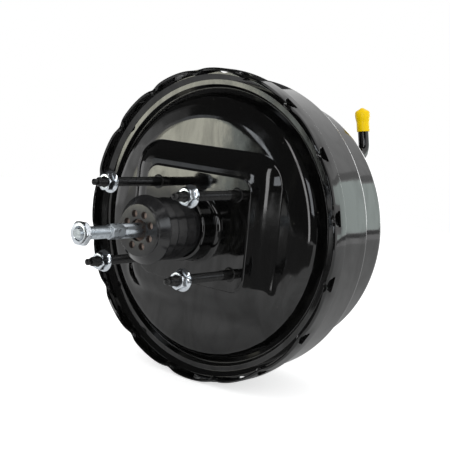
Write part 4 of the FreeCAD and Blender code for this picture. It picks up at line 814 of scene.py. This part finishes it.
def rear_radii(turn):
    """Distances from the axis along one ray, closer together at folds."""
    radii = [33.0, 38.0, 43.0]
    for growth in (-2.5, -1.6, -0.9, -0.4, 0.0, 0.35, 0.7, 1.05, 1.5, 2.2, 3.2, 4.4, 5.8):
        half = (PAD_HALF[0] + growth, PAD_HALF[1] + growth)
        radii.append(box_ray(turn, half, PAD_CORNER + growth))
    for growth in (-4, -3, -2.2, -1.5, -0.9, -0.3, 0.3, 0.9, 1.6, 2.4, 3.4, 4.6,
                   5.8, 6.8, 7.6, 8.2, 8.8, 9.4, 10, 10.7, 11.5, 12.6, 14):
        half = (BOSS_HALF[0] + growth, BOSS_HALF[1] + growth)
        radii.append(box_ray(turn, half, BOSS_CORNER + growth))
    inner = radii[-1]
    start = max(84.0, inner + 0.6)
    for share in (0.25, 0.5, 0.75):
        radii.append(inner + (start - inner) * share)
    dish_rows = 16
    for row in range(dish_rows + 1):
        radii.append(start + (99.5 - start) * row / dish_rows)
    return radii


def rear_shell():
    """Neck, pad, boss and dish, and outside them the folded rim with its slots."""
    turns = even_turns(CRIMPS * CRIMP_SAMPLES)
    neck = rounded([
        (23.6, NECK_MOUTH),
        (NECK_RADIUS, NECK_MOUTH, 2.2),
        (NECK_RADIUS, 0.0, 4.5),
        (NECK_RADIUS + 5.2, 0.0),
    ])
    rings = turned_rings(neck, turns)
    field = [rear_radii(turn) for turn in turns]
    for row in range(len(field[0])):
        ring = []
        for turn, radii in zip(turns, field):
            x = radii[row] * math.cos(turn)
            z = radii[row] * math.sin(turn)
            ring.append(Vector((x, rear_height(x, z), z)))
        rings.append(ring)
    outer = rounded([
        (100.0, rear_height(100.0, 0)),
        (DISH_RADIUS, DISH_PLANE, 13.0),
        (115.6, 27.1, 0.7),
        (118.2, 23.2, 0.6),
        (122.4, 23.2, 0.8),
        (126.6, RIM_PLANE, 0.6),
        (127.2, RIM_PLANE),
    ])
    rings += turned_rings(outer, turns)

    def rim_shape(radius, along, turn):
        share = 1 - (from_lobe(turn) / SLOT_HALF_LENGTH) ** 2
        return radius - SLOT_HEIGHT * max(share, 0.0), along

    rings += turned_rings([(RIM_RADIUS, RIM_PLANE)], turns, rim_shape)
    piece = make_piece("rear_casing", [skin(rings)], None, "black_paint", ["rear_shell"])
    thicken(piece)
    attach(piece, "housing")


def thread_shape(pitch, depth, start, end):
    """Cuts a helical thread between two places along Y."""
    def shape(radius, along, turn):
        if not start < along < end or radius < 1.5:
            return radius, along
        phase = (along / pitch - turn / (2 * math.pi)) % 1.0
        fade = min(1.0, (along - start) / pitch, (end - along) / pitch)
        return radius - depth * fade * (1 - abs(2 * phase - 1)), along
    return shape


def even_rows(radius, start, end, gap):
    """Points of a straight line along Y, no further apart than gap."""
    count = max(2, math.ceil(abs(end - start) / gap))
    return [(radius, start + (end - start) * row / count) for row in range(count + 1)]


def stud_shifts():
    """Places of the four mounting studs in the pad's plane."""
    return [Vector((side * STUD_SPACING[0] / 2, 0, level * STUD_SPACING[1] / 2))
            for side in (-1, 1) for level in (-1, 1)]


def mounting_studs():
    """Four studs: dog point, thread, shank, collar on the pad, knurl and head behind the plate."""
    shoulder = STUD_END + STUD_DOG_LENGTH
    neck = shoulder + STUD_RADIUS - STUD_DOG_RADIUS
    outline = [
        (0.0, STUD_END),
        (1.5, STUD_END),
        (STUD_DOG_RADIUS, STUD_END + 1.0),
        (STUD_DOG_RADIUS, shoulder - 0.4),
        (STUD_DOG_RADIUS - 0.25, shoulder),
    ]
    outline += even_rows(STUD_RADIUS, neck, -SHANK_LENGTH - 0.4, STUD_PITCH / 6)
    outline += [
        (SHANK_RADIUS, -SHANK_LENGTH),
        (SHANK_RADIUS, -0.45),
        (5.7, -0.45),
        (6.0, -0.15),
        (6.0, WALL),
        (KNURL_RADIUS, WALL),
        (KNURL_RADIUS, 4.6),
        (8.0, 4.6),
        (8.0, 7.6),
        (0.0, 7.6),
    ]
    shape = thread_shape(STUD_PITCH, STUD_THREAD_DEPTH, neck - 0.6, -SHANK_LENGTH - 0.6)
    rings = turned_rings(outline, even_turns(28), shape)
    parts = [skin(moved(rings, shift)) for shift in stud_shifts()]
    make_piece("threaded_studs", parts, "housing", "black_phosphate", ["mounting_studs"], sharp=50)


def hexagon_radius(turn, flats, turn_by):
    """Distance from a hexagon's centre to its side, along a ray."""
    angle = (turn - turn_by + math.pi / 6) % (math.pi / 3) - math.pi / 6
    return flats / 2 / math.cos(angle)


def hexagon_rings(flats, rows, turns, turn_by, corner_trim):
    """Rings of a hexagon whose corners end in cones: each row is a largest radius and a place."""
    corner = flats / 2 / math.cos(math.pi / 6) - corner_trim
    rings = []
    for limit, along in rows:
        ring = []
        for turn in turns:
            radius = min(hexagon_radius(turn, flats, turn_by), corner, limit)
            ring.append(Vector((radius * math.cos(turn), along, radius * math.sin(turn))))
        rings.append(ring)
    return rings


def flange_nut_rings(turn_by):
    """A flange nut on a stud, from its seat to its outer face and back through the bore."""
    turns = even_turns(96)
    seat = NUT_SEAT
    face = seat - NUT_HEIGHT
    bore = STUD_RADIUS + THREAD_PLAY
    rings = turned_rings([
        (bore, seat),
        (NUT_FLANGE - 0.3, seat),
        (NUT_FLANGE, seat - 0.3),
        (NUT_FLANGE, seat - 0.9),
        (NUT_FLANGE - 0.35, seat - 1.25),
        (7.6, seat - 2.1),
    ], turns)
    wide = NUT_FLATS
    rings += hexagon_rings(NUT_FLATS, [
        (wide, seat - 2.6),
        (wide, face + 1.6),
        (7.35, face + 1.0),
        (7.05, face + 0.62),
        (6.75, face + 0.36),
        (6.5, face + 0.2),
        (6.2, face + 0.05),
        (5.9, face),
    ], turns, turn_by, 0.12)
    rings += turned_rings([(bore + 0.7, face), (bore, face + 0.7)], turns)
    return rings


def mounting_nuts():
    """Four flange nuts, each screwed on to an angle of its own."""
    parts = []
    turn_by = NUT_TURN
    for shift in stud_shifts():
        parts.append(skin(moved(flange_nut_rings(turn_by), shift), closed=True))
        turn_by += NUT_TURN_STEP
    make_piece("flange_nuts", parts, "housing", "bright_zinc", ["mounting_nuts"], sharp=24)


def lock_nut():
    """The thin nut at the pushrod's end, chamfered on both faces."""
    turns = even_turns(96)
    front = LOCK_NUT_FRONT
    back = front + LOCK_NUT_HEIGHT
    bore = ROD_THREAD_RADIUS + THREAD_PLAY
    rings = turned_rings([(bore, back - 0.7), (bore + 0.7, back)], turns)
    cone = [(8.1, 0.0), (8.4, 0.12), (8.7, 0.3), (9.0, 0.52), (9.3, 0.76), (9.7, 1.1)]
    rows = [(limit, back - drop) for limit, drop in cone]
    rows += [(limit, front + drop) for limit, drop in reversed(cone)]
    rings += hexagon_rings(LOCK_NUT_FLATS, rows, turns, math.radians(30), 0.15)
    rings += turned_rings([(bore + 0.7, front), (bore, front + 0.7)], turns)
    make_piece("rod_lock_nut", [skin(rings, closed=True)], "rod", "bright_zinc", ["lock_nut"],
               sharp=24)


def pushrod():
    """Ball, waist, shank, hexagon and threaded end."""
    turns = even_turns(72)
    bows = [math.radians(angle) for angle in range(0, 141, 10)]
    ball = [(BALL_RADIUS * math.sin(bow), BALL_PLACE + BALL_RADIUS * math.cos(bow)) for bow in bows]
    inner = ball + rounded([
        (3.4, -3.0, 1.0),
        (3.4, -14.0, 0.8),
        (4.5, -15.4, 0.4),
        (4.5, -44.2),
        (5.7, -44.2),
        (5.9, -44.5),
        (5.9, -84.0),
    ])
    rings = turned_rings(inner, turns)
    rings += hexagon_rings(11.0, [
        (5.9, -84.6), (5.98, -85.2), (6.15, -86.0), (6.2, -87.0),
        (6.2, -96.5), (6.1, -97.2), (5.8, -98.0), (5.4, -98.5),
    ], turns, 0.0, 0.0)
    tail = even_rows(ROD_THREAD_RADIUS, -99.0, ROD_END + 1.4, ROD_PITCH / 8)
    tail += [(ROD_THREAD_RADIUS - 1.3, ROD_END), (0.0, ROD_END)]
    shape = thread_shape(ROD_PITCH, ROD_THREAD_DEPTH, ROD_END + 0.4, -99.6)
    rings += turned_rings(tail, turns, shape)
    make_piece("threaded_pushrod", [skin(rings)], "rod", "bright_zinc", ["pushrod"],
               sharp=40, material=ROD_ZINC)


def dust_boot():
    """The boot: front disc, first cone, three convolutions and the cuff on the neck."""
    crests = []
    for crest in BOOT_CRESTS:
        crests += [
            (BOOT_RADIUS, crest, 0.45),
            (BOOT_RADIUS, crest + 0.9, 0.35),
            (BOOT_WAIST, crest + 1.6, 0.6),
        ]
    outline = rounded([
        (8.6, -65.4, 0.35),
        (8.6, -66.0, 0.35),
        (20.3, -66.0, 0.35),
        (21.3, -65.0, 0.35),
        (21.3, -64.0, 1.2),
        (27.4, -57.9, 0.5),
        (27.4, -57.0, 0.35),
        (BOOT_WAIST, -56.3, 0.6),
        *crests,
        (BOOT_WAIST, -18.8),
        (23.3, -18.8),
        (23.3, -16.6),
        (24.9, -16.6, 0.5),
        (24.9, -13.2, 0.5),
        (20.3, -13.2),
        (20.3, -61.0),
        (16.0, -62.4),
        (8.6, -62.8),
    ], closed=True)
    rings = turned_rings(outline, even_turns(128))
    piece = make_piece("boot", [skin(rings, closed=True)], None, "boot_rubber", ["dust_boot"],
                       sharp=BOOT_SHARP)
    punch_breathers(piece)
    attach(piece, "housing")
    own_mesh(piece)


def punch_breathers(piece):
    """Cuts the eight breather holes out of the boot's face."""
    front, back = -67.0, -60.0
    pin = [(0.0, front), (BREATHER_RADIUS, front), (BREATHER_RADIUS, back), (0.0, back)]
    rings = turned_rings(pin, even_turns(32))
    parts = []
    for number in range(BREATHERS):
        angle = math.radians(360 * (number + 0.5) / BREATHERS)
        centre = Vector((BREATHER_CIRCLE * math.cos(angle), 0, BREATHER_CIRCLE * math.sin(angle)))
        parts.append(skin(moved(rings, centre)))
    cutter = make_piece("breather_cutter", parts, "housing", "boot_rubber")
    cut = piece.modifiers.new("breathers", "BOOLEAN")
    cut.operation = "DIFFERENCE"
    cut.object = cutter
    cut.solver = "EXACT"
    bake(piece, BOOT_SHARP)
    bpy.data.objects.remove(cutter)


def pipe_place():
    """Where the pipe's root sits on the nose, and how far its upright leg leans."""
    lean = Matrix.Rotation(math.radians(PIPE_LEAN), 4, Vector((0, -1, 0)))
    return Matrix.Translation(Vector(PIPE_ROOT) * MM) @ lean


def pipe_station(length):
    """At a length of pipe: its centre, the way out of the bend and the bend plane's normal."""
    sideways = Vector((1, 0, 0))
    quarter = PIPE_BEND * math.pi / 2
    if length < PIPE_RUN:
        return Vector((0, length, 0)), Vector((0, 0, 1)), sideways
    if length < PIPE_RUN + quarter:
        angle = (length - PIPE_RUN) / PIPE_BEND
        outward = Vector((0, -math.sin(angle), math.cos(angle)))
        centre = Vector((0, PIPE_RUN, PIPE_BEND)) - outward * PIPE_BEND
        return centre, outward, sideways
    rise = length - PIPE_RUN - quarter
    return Vector((0, PIPE_RUN + PIPE_BEND, PIPE_BEND + rise)), Vector((0, -1, 0)), sideways


def pipe_rings(stations, turns):
    """Rings round the pipe's centre line: each station is a length of pipe and a radius."""
    rings = []
    for length, radius in stations:
        centre, outward, sideways = pipe_station(length)
        rings.append([centre + (sideways * math.cos(turn) + outward * math.sin(turn)) * radius
                      for turn in turns])
    return rings


def vacuum_pipe():
    """A bent tube with a bead near its mouth."""
    quarter = PIPE_BEND * math.pi / 2
    total = PIPE_RUN + quarter + PIPE_LEG
    steps = 18
    bends = [PIPE_RUN + quarter * step / steps for step in range(steps + 1)]
    outer = [(-PIPE_INSET, PIPE_RADIUS), (0.0, PIPE_RADIUS)]
    outer += [(length, PIPE_RADIUS) for length in bends]
    outer += [
        (total - 5.0, PIPE_RADIUS),
        (total - 4.4, 5.0),
        (total - 2.6, 5.0),
        (total - 2.0, PIPE_RADIUS),
        (total - 0.3, PIPE_RADIUS),
        (total, PIPE_RADIUS - 0.3),
    ]
    inner = [(total, PIPE_BORE + 0.2), (total - 0.4, PIPE_BORE)]
    inner += [(length, PIPE_BORE) for length in reversed(bends)] + [(-PIPE_INSET, PIPE_BORE)]
    rings = pipe_rings(outer + inner, even_turns(40))
    make_piece("vacuum_elbow", [skin(rings, closed=True)], "housing", "black_paint",
               ["vacuum_pipe"], pipe_place(), sharp=40)


def vacuum_cap():
    """The yellow cap: a straight sleeve, a bulge with a soft shoulder and a small pointed tip."""
    top = PIPE_BEND + PIPE_LEG
    crown = top + 1.8
    mouth = crown - 19.4
    outline = rounded([
        (5.1, mouth + 0.3),
        (5.3, mouth),
        (5.6, mouth + 0.3, 0.3),
        (5.6, top - 9.2, 3.0),
        (6.45, top - 5.2, 2.0),
        (6.6, top - 2.5, 2.0),
        (6.3, crown - 1.6, 2.4),
        (2.6, crown + 0.5, 2.0),
        (1.1, crown + 1.5, 0.7),
        (0.0, crown + 1.6),
        (0.0, top + 0.3),
        (5.1, top + 0.3),
    ])
    rings = turned_rings(outline, even_turns(64))
    upright = Matrix.Rotation(math.pi / 2, 4, "X")
    stand = Matrix.Translation((0, (PIPE_RUN + PIPE_BEND) * MM, 0)) @ upright
    make_piece("pipe_cap", [skin(rings, closed=True)], "cap", "cap_vinyl", ["vacuum_cap"],
               pipe_place() @ stand, sharp=50)


def master_studs():
    """Two studs at the front: head, knurl in the shell, shank and thread."""
    shank_end = RECESS_PLANE + SHANK_LENGTH
    outline = [
        (0.0, 104.4),
        (7.0, 104.4),
        (7.0, 107.4),
        (KNURL_RADIUS, 107.4),
        (KNURL_RADIUS, 110.2),
        (SHANK_RADIUS, 110.4),
        (SHANK_RADIUS, shank_end),
    ]
    outline += even_rows(STUD_RADIUS, shank_end + 0.4, MASTER_END - 1.0, STUD_PITCH / 6)
    outline += [(STUD_RADIUS - 1.0, MASTER_END), (0.0, MASTER_END)]
    shape = thread_shape(STUD_PITCH, STUD_THREAD_DEPTH, shank_end + 0.6, MASTER_END - 0.4)
    rings = turned_rings(outline, even_turns(28), shape)
    parts = [skin(moved(rings, Vector((side * MASTER_SPACING / 2, 0, 0)))) for side in (-1, 1)]
    make_piece("front_studs", parts, "housing", "black_phosphate", ["master_cylinder_studs"],
               sharp=50)


def coil_parts(radius, wire, turns, start, end):
    """Points and faces of a helical spring, whose wire is capped at both ends."""
    rise = (end - start) / (2 * math.pi * turns)
    rings = []
    for step in range(turns * COIL_STEPS + 1):
        angle = 2 * math.pi * step / COIL_STEPS
        outward = Vector((math.cos(angle), 0, math.sin(angle)))
        along = Vector((-math.sin(angle) * radius, rise, math.cos(angle) * radius)).normalized()
        over = outward.cross(along)
        centre = outward * radius + Vector((0, start + rise * angle, 0))
        rings.append([centre + (outward * math.cos(turn) + over * math.sin(turn)) * wire
                      for turn in even_turns(WIRE_SIDES)])
    points, faces = skin(rings)
    last = len(points) - WIRE_SIDES
    faces.append(tuple(reversed(range(WIRE_SIDES))))
    faces.append(tuple(range(last, last + WIRE_SIDES)))
    return points, faces


def springs():
    """The piston's return spring, the rod's and the poppet's."""
    main = make_piece("main_spring", [coil_parts(31.0, 1.8, 5, 43.4, 105.3)], "housing",
                      "spring_steel", ["return_spring"], sharp=60)
    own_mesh(main)
    inner = make_piece("valve_spring", [coil_parts(10.5, 0.8, 5, -42.0, -22.7)], "piston",
                       "spring_steel", ["rod_return_spring"], sharp=60)
    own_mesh(inner)
    make_piece("small_spring", [coil_parts(8.2, 0.4, 5, -18.3, -8.6)], "piston",
               "spring_steel", ["poppet_spring"], sharp=60)


def diaphragm():
    """The rubber in three pieces: bead with outer leg, inner leg and the disc on the piston."""
    turns = even_turns(160)
    fold = 48.0
    bead = rounded([
        (127.4, 25.6, 0.6), (122.7, 25.6), (122.7, 46.5), (124.1, 46.5),
        (124.1, 24.4), (127.4, 22.4, 0.6),
    ], closed=True)
    arc = rounded([
        (124.1, 40.0), (124.1, fold, 7.0), (102.3, fold, 7.0), (102.3, 40.9),
        (103.8, 40.9), (103.8, fold - 1.5, 5.5), (122.6, fold - 1.5, 5.5), (122.6, 40.0),
    ], closed=True)
    outer = [skin(turned_rings(line, turns), closed=True) for line in (bead, arc)]
    make_piece("diaphragm_bead", outer, "housing", "seal_rubber", ["diaphragm"])
    leg_rows = even_rows(103.8, 25.5, 40.9, 2.0) + even_rows(102.3, 40.9, 25.5, 2.0)
    leg = make_piece("diaphragm_leg", [skin(turned_rings(leg_rows, turns), closed=True)], None,
                     "seal_rubber")
    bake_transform(leg)
    disc = rounded([
        (102.3, 26.2), (103.8, 26.2), (103.8, 23.2, 4.0), (70.3, 23.2, 4.0), (50.4, 38.0, 3.0),
        (42.7, 38.0), (42.7, 35.3), (38.3, 35.3), (38.3, 39.5), (50.0, 39.5, 4.5),
        (70.0, 24.7, 3.0), (102.3, 24.7, 2.0),
    ], closed=True)
    make_piece("diaphragm_disc", [skin(turned_rings(disc, turns), closed=True)], "piston",
               "seal_rubber")


add_camera()
add_studio()
finish_nodes()
front_shell()
rear_shell()
mounting_studs()
mounting_nuts()
lock_nut()
pushrod()
dust_boot()
vacuum_pipe()
vacuum_cap()
master_studs()
springs()
diaphragm()
